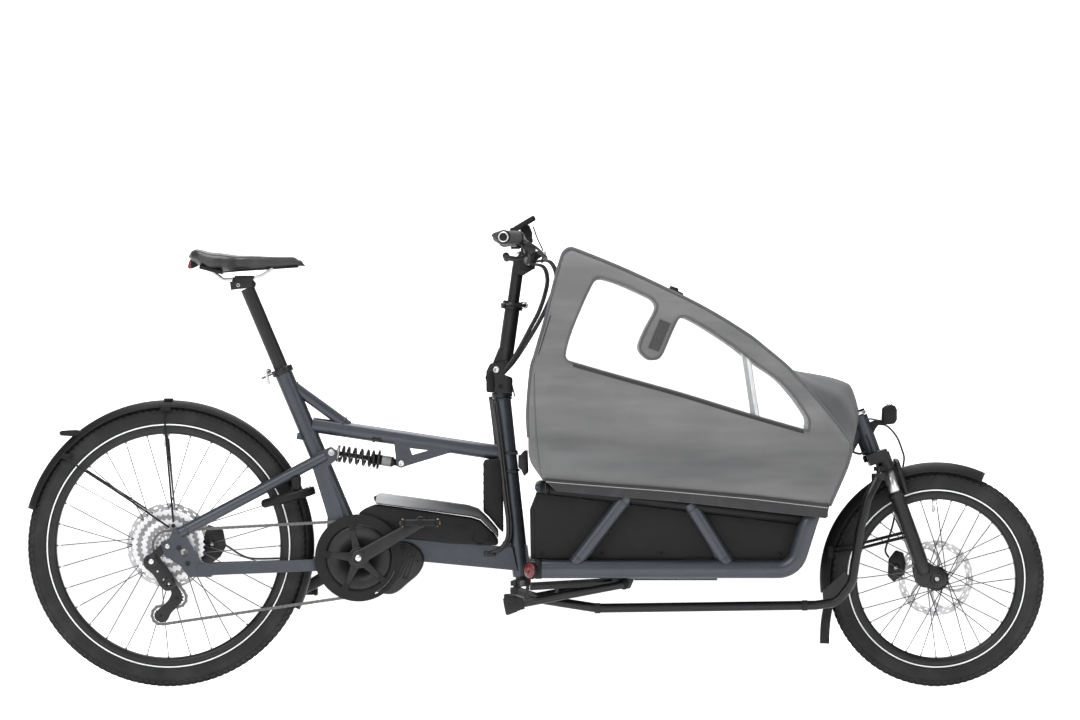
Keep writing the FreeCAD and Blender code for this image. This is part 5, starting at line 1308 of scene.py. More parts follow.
def fork():
    """Fork lowers with seals, arch and dropouts, bright stanchions, and the lamp with its leads."""
    rake = HEAD_AHEAD * 0.020
    lowers, bright = [], []
    for side in (-1, 1):
        out = Vector((0, side * 0.058, 0))
        top = head_axis(0.548) + rake + out
        length = (head_axis(0.262) - head_axis(0.548)).length * 1000 - 98
        profile = [(14.3, 2), (16.4, 0), (18.6, 1), (18.9, 3), (18.9, 9), (18.0, 11), (17.5, 14),
                   (17.5, length * 0.45), (17.2, length * 0.8), (16.2, length - 8), (13.0, length),
                   (0.4, length + 1), (0.4, 106), (14.3, 105)]
        lowers.append(spun(profile, top + HEAD_DOWN * 0.098, HEAD_DOWN, 44))
        lowers.append(slab([(902, 300), (930, 300), (972, 272), (978, 257), (970, 242), (948, 236), (912, 244)],
                           side * 58 - 5.5, side * 58 + 5.5, 2.5, 60))
        lowers.append(spun([(6.2, -9), (15, -9), (17, -6), (17, 6), (15, 9), (6.2, 9)], FRONT_AXLE + out, (0, 1, 0)))
        bright.append(spun([(14.02, 40), (14.2, 40), (14.2, 122), (14.02, 122)], top, HEAD_DOWN, 44))
    middle = head_axis(0.548) + rake + HEAD_DOWN * 0.110 + HEAD_AHEAD * 0.024
    crest = middle - HEAD_DOWN * 0.076 + HEAD_AHEAD * 0.004
    points = [middle + Vector((0, -0.058, 0)), middle.lerp(crest, 0.5) + Vector((0, -0.056, 0)),
              crest + Vector((0, -0.042, 0)), crest + Vector((0, 0, 0.001)), crest + Vector((0, 0.042, 0)),
              middle.lerp(crest, 0.5) + Vector((0, 0.056, 0)), middle + Vector((0, 0.058, 0))]
    lowers.append(sweep("arch", smooth_line(points, 50), (0.0080, 0.0065), 14))
    for side in (-1, 1):
        lowers.append(box_mesh("shield", crest + Vector((0.001, side * 0.040, -0.034)), (0.020, 0.006, 0.068),
                               Matrix.Rotation(math.radians(-6), 3, "Y"), 0.002))
    piece("fork_lower_legs", lowers, "black_metal", "fork_lowers", ["fork_lowers"])
    piece("fork_stanchions", bright, "bare_alloy", "fork")
    caps = [spun([(0.4, -4), (10, -4), (12.5, -2), (13.5, 1)], head_axis(0.548) + rake + Vector((0, s * 0.058, 0)),
                 HEAD_DOWN, 30, False) for s in (-1, 1)]
    caps += [spun([(20.2, -12), (21.6, -11), (21.6, -6), (20.2, -5)], head_axis(0.656), -HEAD_DOWN),
             spun([(0.3, 3), (3.2, 3), (3.4, 5.5), (5.5, 5.5), (6, 4), (6, 0)], head_axis(0.656), -HEAD_DOWN, 20,
                  False)]
    piece("fork_caps", caps, "bare_alloy", "fork")
    lamp = [slab([(827, 628), (828, 662), (836, 669), (848, 671), (858, 669), (862, 664), (863, 634), (858, 625),
                  (838, 623)], -24, 24, 5),
            slab([(796, 604), (800, 630), (818, 636), (838, 632), (836, 620), (820, 622), (812, 612), (808, 602)],
                 -9, 9, 2)]
    lamp += [box_mesh("fin", mm(841 + 5 * k, 0, 671), (0.0016, 0.036, 0.003), bevel=0.0005) for k in range(3)]
    piece("head_lamp", lamp, "black_plastic", "fork", ["headlight"])
    glass = slab([(862.5, 633), (863, 662), (865.5, 659), (866, 637)], -19, 19, 1)
    piece("head_lamp_lens", [glass], "reflex_white", "fork", slot="clear_film")
    leads = [tube([(786, -10, 634), (800, -14, 637), (823, -8, 632)], 2.2, 8, 14),
             tube([(756, -20, 563), (762, -24, 557), (776, -22, 554), (790, -18, 560)], 3.0, 10, 16),
             tube([(790, -22, 600), (799, -25, 580), (806, -26, 556), (812, -24, 538)], 2.6, 10, 16)]
    piece("head_leads", leads, "cable_black", "fork")
    hose = piece("front_hose", [tube([(826, 28, 627), (846, 36, 616), (866, 46, 592), (878, 52, 562), (883, 58, 540),
                                      (876, 68, 500), (868, 74, 450), (858, 74, 390), (846, 62, 350),
                                      (838, 50, 322), (846, 44, 306)], 2.5, 10, 90)], "cable_black", None)
    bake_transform(hose)


def caliper(tag, body, inner, outer, bridge, low, high, slot_low, slot_high, bolts, hose):
    """Two-piece brake caliper over the rotor, with bolts, pad pin and hose."""
    meshes = [slab(outer, slot_high, high, 2.2), slab(outer, low, slot_low, 2.2),
              slab(bridge, slot_low - 1, slot_high + 1, 1.2)]
    x, z = inner
    for way, y in ((1, high), (-1, low)):
        meshes.append(spun([(0.4, 2.0), (9, 2.0), (11, 0.5), (11.5, -2)], mm(x, y, z), (0, way, 0), 30, False))
        meshes += [bolt(bx, y, bz, 3.4, way) for bx, bz in bolts]
    piece(tag + "_caliper_body", meshes, "black_metal", body, [tag + "_caliper"])
    bright = [bolt(x, high + 1.5, z, 4.0, 1, 2.0), bolt(x, low - 1.5, z, 4.0, -1, 2.0)]
    piece(tag + "_caliper_caps", bright, "bare_alloy", body)
    if hose:
        piece(tag + "_caliper_hose", [tube(hose, 2.5, 10, 50)], "cable_black", body)


def brakes():
    caliper("front", "fork_lowers", (862, 282),
            [(843, 262), (857, 248), (882, 266), (886, 292), (880, 318), (862, 324), (845, 302)],
            [(844, 264), (858, 252), (861, 264), (862, 322), (845, 300)], 22, 50, 34, 39.8,
            ((851, 266), (868, 314)), None)
    caliper("rear", "swingarm", (-768, 338),
            [(-800, 302), (-772, 290), (-748, 308), (-734, 334), (-742, 372), (-778, 384), (-788, 352)],
            [(-764, 296), (-736, 330), (-742, 372), (-760, 378), (-761, 335)], 31, 61, 42.2, 47.8,
            ((-790, 306), (-757, 372)),
            [(-740, 52, 338), (-722, 58, 326), (-700, 62, 312), (-670, 62, 303), (-600, 52, 304), (-520, 42, 306)])


def shock():
    """Damper body with marking band and adjuster ring, shaft, coil spring, and bolts at both eyes."""
    front, rear = mm(-316, 0, 531), mm(-482, 0, 557)
    along = (rear - front).normalized()
    body = [(6.3, 73), (11.5, 74), (12.5, 72.5), (12.5, 58.5), (20.5, 58), (21.4, 57), (21.4, 53), (20.5, 52),
            (12.5, 51.5), (12.5, 22), (11.6, 20), (8.2, 17), (8.2, 6), (6.3, 7)]
    meshes = [spun(body, front, along, 44),
              spun([(4.1, -9), (7.8, -9), (9, -8), (9, 8), (7.8, 9), (4.1, 9)], front, (0, 1, 0))]
    meshes += [box_mesh("notch", front + along * 0.055 + turned_off(along, k) * 0.0214, (0.005, 0.003, 0.003),
                        bevel=0.0008) for k in range(12)]
    piece("shock_damper", meshes, "black_metal", "shock_body", ["shock_body"])
    piece("shock_band", [spun([(12.55, 25), (12.8, 25.4), (12.8, 46.6), (12.55, 47)], front, along, 44)],
          "grey_plastic", "shock_body")
    shaft = [spun([(0.4, 57), (6, 57), (6, 152), (14, 152), (20, 150), (21.4, 149), (21.4, 154), (20, 155), (8, 157),
                   (0.4, 157)], front, along, 40),
             spun([(5.8, -10), (9.6, -10), (11, -8.6), (11, 8.6), (9.6, 10), (5.8, 10)], rear, (0, 1, 0))]
    piece("shock_rod", shaft, "bare_steel", "shock_shaft", ["shock_shaft"], "black_metal")
    turns, length, count = 6.4, 0.0885, 300
    across = Vector((0, 1, 0))
    up = along.cross(across)
    line = []
    for i in range(count):
        t = i / (count - 1)
        pitch = t + 0.035 * math.sin(TAU * t) * -1
        angle = TAU * turns * t
        line.append(front + along * (0.0610 + (length - 0.002) * pitch)
                    + (across * math.cos(angle) + up * math.sin(angle)) * 0.0182)
    coil = piece("shock_spring", [sweep("coil", line, 0.0030, 12)], "black_metal", None, ["shock_coil"])
    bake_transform(coil)
    bolts = [bolt(-316, way * 17, 531, 7, way, 3.5) for way in (-1, 1)]
    piece("shock_front_bolt", bolts, "bare_alloy", "frame")
    rear_bolts = [bolt(-482, way * 45, 557, 8, way, 3.0) for way in (-1, 1)]
    piece("shock_rear_bolt", rear_bolts, "bare_steel", "swingarm", slot="black_metal")


def turned_off(along, k):
    """One of twelve directions square to an axis."""
    side = Vector((0, 1, 0))
    up = along.cross(side)
    return side * math.cos(TAU * k / 12) + up * math.sin(TAU * k / 12)


def ring_lock():
    """Frame lock: horseshoe body with key barrel and mounting arms; the shackle slides inside it."""
    centre = mm(-590, 0, 449)
    lean = math.radians(15)
    out = Vector((math.cos(lean), 0, math.sin(lean)))
    normal = Vector((-out.z, 0, out.x))
    across = Vector((0, 1, 0))
    line, radii = [], []
    for k in range(61):
        turn = math.radians(-142 + 284 * k / 60)
        reach = 0.066
        spot = out * (math.cos(turn) * reach) + across * (math.sin(turn) * reach)
        if spot.dot(out) > 0.059:
            spot -= out * (spot.dot(out) - 0.059)
        line.append(centre + spot)
        radii.append((0.0112, 0.0105))
    body = [sweep("horseshoe", line, radii, 16),
            *[box_mesh("side_case", centre + across * (0.058 * side) - out * 0.004, (0.060, 0.016, 0.024),
                       Matrix.Rotation(-lean, 3, "Y"), 0.005) for side in (-1, 1)],
            box_mesh("case", centre + out * 0.060 + across * 0.030, (0.020, 0.040, 0.020),
                     Matrix.Rotation(-lean, 3, "Y"), 0.004)]
    for side in (-1, 1):
        body.append(tube([(-575, side * 62, 456), (-572, side * 60, 476), (-560, side * 54, 502)], 3.2, 10, 16))
        body.append(box_mesh("lug", mm(-566, side * 59, 484), (0.020, 0.006, 0.030), bevel=0.002))
    piece("ring_lock_body", body, "black_plastic", "swingarm", ["ring_lock"])
    barrel = [spun([(0.4, 2), (5, 2), (6.5, 1), (6.5, -4)], centre + out * 0.058 + across * -0.034 + normal * 0.0105,
                   normal, 24, False)]
    piece("ring_lock_barrel", barrel, "bare_alloy", "swingarm")


def battery():
    """Battery case with seam and lock, its lid with a painted highlight, the motor with covers, and the box behind the
    column.
    """
    case = [slab([(-419, 412), (-402, 424), (-378, 434), (-260, 418), (-148, 402), (-128, 395), (-98, 366),
                  (-85, 351), (-86, 336), (-200, 341), (-313, 353), (-380, 388)], -45, 45, 6)]
    for way in (-1, 1):
        case.append(slab([(-370, 402), (-366, 407), (-160, 381), (-150, 372), (-160, 368), (-340, 386)],
                         way * 45.4 - 0.6, way * 45.4 + 0.6, 0.5))
        case.append(spun([(16, -2), (19, -2), (19.6, -0.6), (19.6, 0.9), (17, 1.2), (16, 0)], mm(-128, way * 45, 356),
                         (0, way, 0)))
    piece("battery_case", case, "black_plastic", "frame", ["battery"])
    lid = [slab([(-378, 435.5), (-375, 455), (-371, 460), (-362, 460.5), (-260, 447), (-156, 432.5), (-133, 424),
                 (-112, 404), (-95, 385), (-85, 372), (-85, 354), (-100, 370), (-127, 397.5), (-148, 404.5)],
                -46.5, 46.5, 3)]
    # The lid's finish carries a painted highlight, light grey at the rear end fading to near black at the front
    piece("battery_top", lid, "lid_painted_highlight", "frame", ["battery_lid"], "grey_plastic")
    seam = [tube([(x, way * 46.8, z) for x, z in ((-377, 437), (-260, 421.5), (-148, 406), (-128, 399))], 0.7, 6, 40)
            for way in (-1, 1)]
    seam.append(slab([(-380, 441), (-382, 452), (-374, 456), (-373, 440)], -16, 16, 1.5))
    piece("battery_seam", seam, "black_plastic", "frame")
    motor = [slab([(-444, 349), (-380, 348), (-302, 344), (-275, 330), (-263, 311), (-263, 290), (-275, 268),
                   (-298, 248), (-328, 224), (-356, 221), (-400, 237), (-436, 268), (-445, 302)], -44, 44, 7, 90)]
    for way in (-1, 1):
        motor.append(spun([(12.4, -1), (40, -1), (43, 0), (44.5, -3), (44.5, -6), (12.4, -6)],
                          mm(-417, way * 43.5, 307) + mm(38, 0, -12), (0, way, 0), 60))
        motor += [tube([(-330 + 9 * k, way * 44.2, 262 - 2 * k), (-300 + 6 * k, way * 44.2, 316)], 1.2, 8, 6)
                  for k in range(4)]
        motor += [bolt(x, way * 44, z, 4.2, way, 3) for x, z in ((-300, 334), (-276, 300), (-306, 258), (-352, 232),
                                                                   (-430, 338), (-432, 280))]
    piece("motor_case", motor, "black_metal", "frame", ["motor"])
    box = [slab([(-121, 533), (-118, 540), (-84, 543), (-74, 536), (-73, 366), (-84, 376), (-108, 405), (-121, 416)],
                -29, 29, 5)]
    box += [box_mesh("rib", mm(-121, 0, 440 + 22 * k), (0.002, 0.040, 0.004), bevel=0.0008) for k in range(5)]
    piece("control_box", box, "black_plastic", "frame")


def column_axis(height):
    """Middle of the steering column in millimetres."""
    return Vector((-39 - math.tan(math.radians(6.05)) * (height - 340), 0, height))


def weld(centre, axis, radius, bead=1.7):
    """Rippled weld bead round a tube, in millimetres."""
    axis = Vector(axis).normalized()
    a = axis.orthogonal().normalized()
    b = axis.cross(a)
    line, radii = [], []
    for k in range(96):
        turn = TAU * k / 96
        line.append((Vector(centre) + (a * math.cos(turn) + b * math.sin(turn)) * radius) * 0.001)
        radii.append((bead + 0.45 * math.sin(k * TAU / 4)) * 0.001)
    return sweep("weld", line, radii, 8, closed=True)


def frame_fittings():
    """Weld beads, hoses down the column, clamps, frame bolts, cable clips and the panel fittings."""
    seat = (-math.sin(math.radians(23)), 0, math.cos(math.radians(23)))
    beads = [weld((-455, 0, 628.5), (148, 0, -108), 13.4), weld((-571, 0, 713), (148, 0, -108), 13.4),
             weld((-627, 0, 742), seat, 22.0, 2.2), weld(column_axis(684), (-0.105, 0, 1), 20.8, 2.4)]
    for side in (-1, 1):
        for (x0, z0), (x1, z1) in (((96, 297), (218, 455)), ((456, 297), (368, 438))):
            way = Vector((x1 - x0, 0, z1 - z0)).normalized()
            foot, top = Vector((x0, side * 238, z0)), Vector((x1, side * 238, z1))
            beads.append(weld(foot + way * 14, way, 17.4))
            beads.append(weld(top - way * 16, way, 17.2))
        for x in (70, 330, 590):
            beads.append(weld((x, side * 217, 284), (0, 1, 0), 15.4))
        beads.append(weld((742, side * 24, 574), (58, -side * 96, 94), 21.8))
        beads.append(weld((-826, side * 77, 374), (345, -side * 41, 183), 13.4))
    piece("weld_beads", beads[:-1], "frame_paint", "frame")
    hoses = []
    for k, (y, shift) in enumerate(((-25, 0), (-31, 3), (-27, 9))):
        hoses.append(tube([(-102 + shift, y + 6, 684), (-93 + shift, y, 630), (-84 + shift, y, 560),
                           (-77 + shift, y, 500), (-70 + shift, y, 440), (-64 + shift, y, 390),
                           (-66 + shift, y, 352), (-84 + shift, y, 328), (-106 + shift, y, 319 - k)],
                          3.0, 10, 80))
    hoses.append(tube([(-104, 27, 690), (-94, 27, 610), (-88, 27, 540), (-92, 27, 470), (-110, 27, 414)], 5.0, 10, 50))
    piece("column_hoses", hoses, "cable_black", "frame", ["frame_hoses"])
    grommet = [slab([(-119, 309), (-119, 322), (-92, 320), (-90, 311)], -34, -24, 2)]
    lean = Vector((-0.1054, 0, 0.9944))
    for height in (557, 513):
        grommet.append(spun([(20.1, -3), (22.6, -3), (23.2, -2), (23.2, 2), (22.6, 3), (20.1, 3)],
                            column_axis(height) * 0.001, lean))
        grommet.append(slab([(-66, height - 3), (-66, height + 3), (-38, height), (-38, height - 6)], -28, -20, 1.5))
    grommet += [box_mesh("clip", mm(x, -18.4, 586), (0.006, 0.005, 0.011), bevel=0.0015) for x in (-382, -367)]
    grommet.append(box_mesh("clip", mm(-374.5, -18.8, 586), (0.012, 0.004, 0.005), bevel=0.001))
    piece("column_clamps", grommet, "black_metal", "frame", slot="grey_plastic")
    hold = [slab([(-38, 551), (-33, 551), (-24, 562), (-15, 563), (-13, 510), (-24, 500), (-30, 514), (-38, 522)],
                 -14, 14, 2),
            spun([(20.2, -7), (23.5, -7), (24.5, -5), (24.5, 5), (23.5, 7), (20.2, 7)], column_axis(694) * 0.001,
                 lean)]
    piece("column_bracket", hold, "black_metal", "frame")
    rail = []
    for side in (-1, 1):
        rail.append(tube([(664, side * 238, 398), (340, side * 238, 436.9), (14, side * 238, 476)], 12.9, 20))
        rail += [spun([(12.9, -5), (14.2, -5), (14.2, 5), (12.9, 5)], mm(x, side * 238, 398 + (664 - x) * 0.12),
                      (-650, 0, 78), 30) for x in (650, 30)]
    piece("rail_sleeves", rail, "black_plastic", "frame")
    bolts = [bolt(x, way * y, z, r, way) for way in (-1, 1)
             for x, y, z, r in ((-478, 46, 300, 9), (-843, 82, 331, 6), (-822, 82, 294, 6))]
    piece("swingarm_bolts", bolts, "black_metal", "swingarm")
    piece("swingarm_welds", beads[-1:], "frame_paint", "swingarm")
    panel = []
    for side in (-1, 1):
        y = side * 216.4
        panel.append(slab([(-7, 313), (-9, 420), (5, 458), (12, 457), (0, 420), (2, 313)], min(y, y + side * 1.6),
                          max(y, y + side * 1.6), 0.6))
        panel.append(tube([(-4, y, 310), (300, y, 309), (608, y, 309)], 2.2, 8, 30))
        for x, z in ((296, 441), (509, 400)):
            panel.append(box_mesh("slot", mm(x, y + side * 0.8, z), (0.030, 0.0036, 0.008),
                                  Matrix.Rotation(math.radians(7), 3, "Y"), 0.001))
        panel += [bolt(x, y, 322, 4.0, side, 2.0) for x in (20, 160, 300, 440, 580)]
    piece("panel_trim", panel, "black_plastic", "frame")


def reflectors():
    """Domed rear reflectors on the oblique ends of the side tubes, with their sleeves."""
    lens, sleeve = [], []
    for side in (-1, 1):
        ahead = Vector((-0.75, side * 0.66, 0)).normalized()
        face = mm(-11, side * 262, 281)
        lens.append(spun([(0.4, 4.0), (8, 3.5), (14, 2.4), (18, 0.8), (19, -0.5), (19, -2), (0.4, -2)], face, ahead))
        sleeve.append(spun([(19.0, 0.5), (20.4, 0.5), (20.9, -0.6), (20.4, -9), (18.2, -9)], face, ahead))
        sleeve.append(spun([(21.6, 0), (23.0, 0.4), (23.0, 15.6), (21.6, 16)], mm(2, side * 238, 284), (1, 0, 0)))
    piece("rear_reflectors", lens, "reflector_red", "frame", ["reflectors"])
    piece("tube_end_sleeves", sleeve, "black_plastic", "frame")


def stand_and_rod():
    """Flared rubber feet and pivot caps of the stand, rubber boots and bands on the tie rod."""
    feet, caps = [], []
    lean = mm(262, 0, 50).normalized()
    for side in (-1, 1):
        foot = mm(-50, side * 198, 198)
        feet.append(spun([(10.2, 26), (13.5, 26), (14.6, 20), (14.2, 16), (15.8, 14), (15.2, 9), (17.4, 7), (18.4, 0),
                          (20.4, -12), (21.0, -17), (19, -20.4), (0.4, -21)], foot, lean, 40))
        caps.append(spun([(0.4, 3), (9, 3), (12.6, 1), (13.4, -4), (12.1, -4)], mm(212, side * 199, 248),
                         (0, side, 0), 30, False))
    piece("stand_feet", feet, "tyre_rubber", "kickstand", slot="grip_rubber")
    piece("stand_caps", caps, "black_plastic", "kickstand")
    hinge = Vector((-math.tan(math.radians(6.05)), 0.03, 1)).normalized()
    boots = [spun([(7.5, 9), (12.6, 9.2), (13.6, 7), (12.6, 5), (13.8, 3), (13.8, -8.5), (7.5, -9.2)],
                  mm(-43, -110, 230), hinge),
             spun([(11.2, 8.3), (15.5, 8.4), (16.6, 7), (16.6, -7), (15.5, -8.4), (11.2, -8.3)], mm(816, -110, 500),
                  (0, 0, 1))]
    for x, y, z in ((150, -160, 190), (640, -160, 196.6)):
        boots.append(spun([(11.1, -7), (12.4, -6), (12.4, 6), (11.1, 7)], mm(x, y, z), (1, 0, 0.013)))
    piece("rod_boots", boots, "tyre_rubber", "tie_rod", slot="grip_rubber")


# ---------------------------------------------------------------- saddle, cushions and handlebar

def between(table, x):
    """Value at x on a table of (x, value) pairs with rising x, eased between them."""
    for (x0, v0), (x1, v1) in zip(table, table[1:]):
        if x <= x1:
            t = max(0.0, (x - x0) / (x1 - x0))
            return v0 + (v1 - v0) * t * t * (3 - 2 * t)
    return table[-1][1]


SADDLE_TOP = [(-821, 1026), (-814, 1037), (-804, 1041), (-760, 1033), (-700, 1026.5), (-575, 1023), (-556, 1015),
              (-545, 1003)]
SADDLE_LOW = [(-821, 1020), (-812, 1010), (-795, 1001), (-770, 987), (-740, 986.5), (-700, 990), (-620, 995),
              (-560, 999), (-545, 1000)]
SADDLE_WIDE = [(-821, 30), (-812, 58), (-795, 73), (-760, 77), (-735, 70), (-700, 46), (-660, 29), (-600, 21.5),
               (-560, 18), (-545, 6)]


def saddle():
    """Padded cover with a relief channel, shell underneath, rails, clamp bolts and the tail light."""
    rows, across = 70, 48
    verts = []
    for i in range(rows):
        t = i / (rows - 1)
        x = -821 + 276 * (t + 0.035 * math.sin(TAU * t) * -1)
        top, low, wide = (between(table, x) for table in (SADDLE_TOP, SADDLE_LOW, SADDLE_WIDE))
        for k in range(across):
            turn = TAU * k / across
            c, s = math.cos(turn), math.sin(turn)
            y = math.copysign(abs(c) ** 0.75, c) * wide
            if s >= 0:
                middle = low + (top - low) * 0.42
                z = middle + (top - middle) * s ** 0.62
                dip = 3.2 * math.exp(-(y / 8.5) ** 2) * max(0.0, math.sin(math.pi * min(1, max(0, (x + 800) / 220))))
                z -= dip * s
            else:
                z = low + (top - low) * 0.42 * (1 + s) + 3.0 * (1 - abs(c)) * 0.3
                y *= 1 - 0.10 * abs(s) ** 2
            verts.append(mm(x, y, z))
    faces = grid_faces(rows, across, closed_columns=True)
    faces += [tuple(range(across))[::-1], tuple((rows - 1) * across + k for k in range(across))]
    pad = piece("saddle_cover", [mesh_from("pad", verts, faces)], "saddle_leather", "seat", ["saddle"])
    seams = []
    for side in (-1, 1):
        line = []
        for k in range(60):
            x = -806 + 240 * k / 59
            top, low, wide = (between(table, x) for table in (SADDLE_TOP, SADDLE_LOW, SADDLE_WIDE))
            turn = math.radians(38)
            z = low + (top - low) * 0.42 + (top - low) * 0.58 * math.sin(turn) ** 0.62
            line.append(mm(x, side * (math.cos(turn) ** 0.75 * wide + 0.3), z + 0.3))
        seams.append(sweep("seam", line, 0.0009, 6))
    piece("saddle_seams", seams, "cable_black", "seat", slot="saddle_leather")
    under = [slab([(-800, 1004), (-770, 986), (-740, 984.5), (-700, 988), (-620, 993), (-560, 997), (-562, 1001),
                   (-700, 996), (-780, 1006)], -16, 16, 1.5)]
    for side in (-1, 1):
        under.append(box_mesh("shell", mm(-768, side * 36, 992), (0.056, 0.060, 0.010),
                              Matrix.Rotation(math.radians(14), 3, "Y"), 0.003))
    under += [slab([(-818, 1014), (-798, 1010), (-797, 1003), (-806, 998), (-816, 994)], -14, 14, 1.5),
              slab([(-722, 953), (-718, 968), (-672, 972), (-662, 960), (-664, 950), (-700, 946)], -18, 18, 2.5),
              slab([(-718, 966), (-716, 974), (-668, 978), (-664, 971)], -30, 30, 2)]
    piece("saddle_shell", under, "black_plastic", "seat")
    rails = [tube([(-768, side * 26, 989), (-752, side * 25, 978), (-738, side * 24, 969), (-722, side * 23, 969.5),
                   (-690, side * 22, 974), (-660, side * 22, 975), (-644, side * 20, 981), (-622, side * 15, 996)],
                  3.4, 12, 60) for side in (-1, 1)]
    rails += [bolt(-704, side * 18, 955, 4.5, side) for side in (-1, 1)]
    piece("saddle_rails", rails, "bare_steel", "seat", slot="black_metal")
    lens = [slab([(-823, 994), (-824.5, 1000), (-819, 1017), (-814, 1017), (-815, 994)], -16, 16, 2)]
    piece("tail_light", lens, "reflector_red", "seat")
    lean = (-math.sin(math.radians(23)), 0, math.cos(math.radians(23)))
    collar = [spun([(21.3, -8), (25.4, -8), (26, -6), (26, 5), (25.4, 7), (17.2, 7), (17.2, 5.5), (21.3, 5.5)],
                   mm(-599.5, 0, 751.5), lean, 44)]
    piece("seat_clamp", collar, "black_metal", "frame", ["seat_collar"])
    lever = [tube([(-632, -16, 750), (-636, -24, 746), (-634, -28, 734), (-630, -29, 718)], 3.4, 12, 24),
             tube([(-632, -13, 750), (-632, 13, 750)], 3.8, 14),
             spun([(0.4, 3), (5, 3), (6.4, 1.5), (6.4, -3)], mm(-632, 14, 750), (0, 1, 0), 24, False)]
    piece("seat_clamp_lever", lever, "bare_alloy", "seat_lever", ["seat_lever"], "black_metal")


def cushion(name, centre, lengths, axis):
    """Upholstered pad with rounded edges, crowned faces and three pressed seams; returns pad and piping."""
    count = 26
    work = bmesh.new()
    bmesh.ops.create_cube(work, size=2)
    bmesh.ops.subdivide_edges(work, edges=work.edges[:], cuts=count, use_grid_fill=True)
    half = Vector(lengths) * 0.5
    soft = min(half) * 0.62
    for vert in work.verts:
        unit = vert.co.copy()
        spot = Vector((unit.x * half.x, unit.y * half.y, unit.z * half.z))
        core = Vector([max(-h + soft, min(h - soft, c)) for c, h in zip(spot, half)])
        off = spot - core
        if off.length > soft:
            off *= soft / off.length
        spot = core + off
        flat = [unit[k] for k in range(3) if k != axis]
        lift = (1 - flat[0] ** 2) * (1 - flat[1] ** 2)
        groove = sum(math.exp(-((unit.y - g) / 0.018) ** 2) for g in (-0.34, 0.0, 0.34))
        spot[axis] *= 1 - 0.10 * (1 - lift) - 0.14 * min(1, groove) * abs(unit[axis]) ** 4
        vert.co = spot + centre
    mesh = bpy.data.meshes.new(name)
    work.to_mesh(mesh)
    work.free()
    others = [k for k in range(3) if k != axis]
    line = []
    for k in range(80):
        turn = TAU * k / 80
        spot = Vector(centre)
        for slot, value in zip(others, (math.cos(turn), math.sin(turn))):
            spot[slot] += math.copysign(abs(value) ** 0.16, value) * (half[slot] - 0.0006)
        line.append(spot)
    return mesh, sweep("piping", line, 0.0020, 8, closed=True)


def bench():
    seat_mesh, seat_trim = cushion("seat_cushion", mm(202.5, 0, 447), (0.262, 0.376, 0.042), 2)
    back_mesh, back_trim = cushion("back_cushion", mm(0, 0, 0), (0.040, 0.366, 0.238), 0)
    for mesh in (back_mesh, back_trim):
        mesh.transform(Matrix.Translation(mm(51, 0, 621)))
    for name, mesh in (("bench_seat_cushion", seat_mesh), ("bench_back_cushion", back_mesh)):
        piece(name, [mesh], "bench_fabric", "frame", ["bench_pads"])
    piece("bench_piping", [seat_trim, back_trim], "hem_black", "frame", slot="bench_fabric")
    strap = [tube([(70.5, y, 690), (73, y, 640), (74, y, 560), (92, y, 480), (130, y * 0.8, 470.5)], 1.4, 6, 40)
             for y in (-80, 80)]
    strap.append(box_mesh("buckle", mm(132, 0, 472), (0.046, 0.036, 0.009), bevel=0.003))
    strap.append(tube([(130, -64, 471), (132, 0, 472), (130, 64, 471)], 1.6, 6, 20))
    piece("harness", strap, "hem_black", "frame", slot="bench_fabric")


BAR_TIP = Vector((-72, -340, 1066))
BAR_ROOT = Vector((-34, -186, 1066))


def on_bar(reach, side):
    """Place on the handlebar's straight end, by distance outwards from its bend."""
    spot = BAR_ROOT + (BAR_TIP - BAR_ROOT).normalized() * reach
    return Vector((spot.x, -side * spot.y, spot.z)) * 0.001


def grips():
    """Shaped grips with a palm rest, ribs and end rings."""
    length = (BAR_TIP - BAR_ROOT).length
    rubber, rings, plugs = [], [], []
    for side in (-1, 1):
        verts, rows, around = [], 40, 28
        out = (on_bar(10, side) - on_bar(0, side)).normalized()
        for i in range(rows):
            t = i / (rows - 1)
            spot = on_bar(34 + (length - 36) * t, side)
            wing = 0.5 - 0.5 * math.cos(math.pi * min(1, t * 1.25))
            fade = 1 - 0.5 * max(0.0, (t - 0.9) / 0.1)
            for k in range(around):
                turn = TAU * k / around
                c, s = math.cos(turn), math.sin(turn)
                reach = 0.0155 if c > 0 else 0.0155 + 0.0160 * wing * fade
                tall = 0.0155 - 0.0050 * wing * max(0.0, -c)
                rib = 0.0005 * math.sin(t * 90) * (1 if c > -0.3 else 0)
                verts.append(spot + Vector((c * (reach + rib), 0, s * (tall + rib) + 0.004 * wing * max(0, -c))))
        faces = grid_faces(rows, around, closed_columns=True)
        faces += [tuple(range(around))[::-1], tuple((rows - 1) * around + k for k in range(around))]
        rubber.append(mesh_from("grip", verts, faces))
        for reach in (32, length - 4):
            plugs.append(spun([(11.1, -3), (15.5, -3), (16.6, -2), (16.6, 2), (15.5, 3), (11.1, 3)],
                              on_bar(reach, side), out))
        rings.append(spun([(9.4, 0), (9.6, 3.2), (12, 3.6), (12.6, 2), (12.6, 0)], on_bar(length - 1, side), out, 36))
        plugs.append(spun([(0.4, 2.4), (8.6, 2.4), (9.6, 1.2), (9.6, -2)], on_bar(length - 1, side), out, 30, False))
    piece("grip_covers", rubber, "grip_rubber", "bar", ["grips"])
    piece("grip_rings", rings, "bare_alloy", "bar", slot="black_metal")
    piece("grip_plugs", plugs, "black_plastic", "bar")


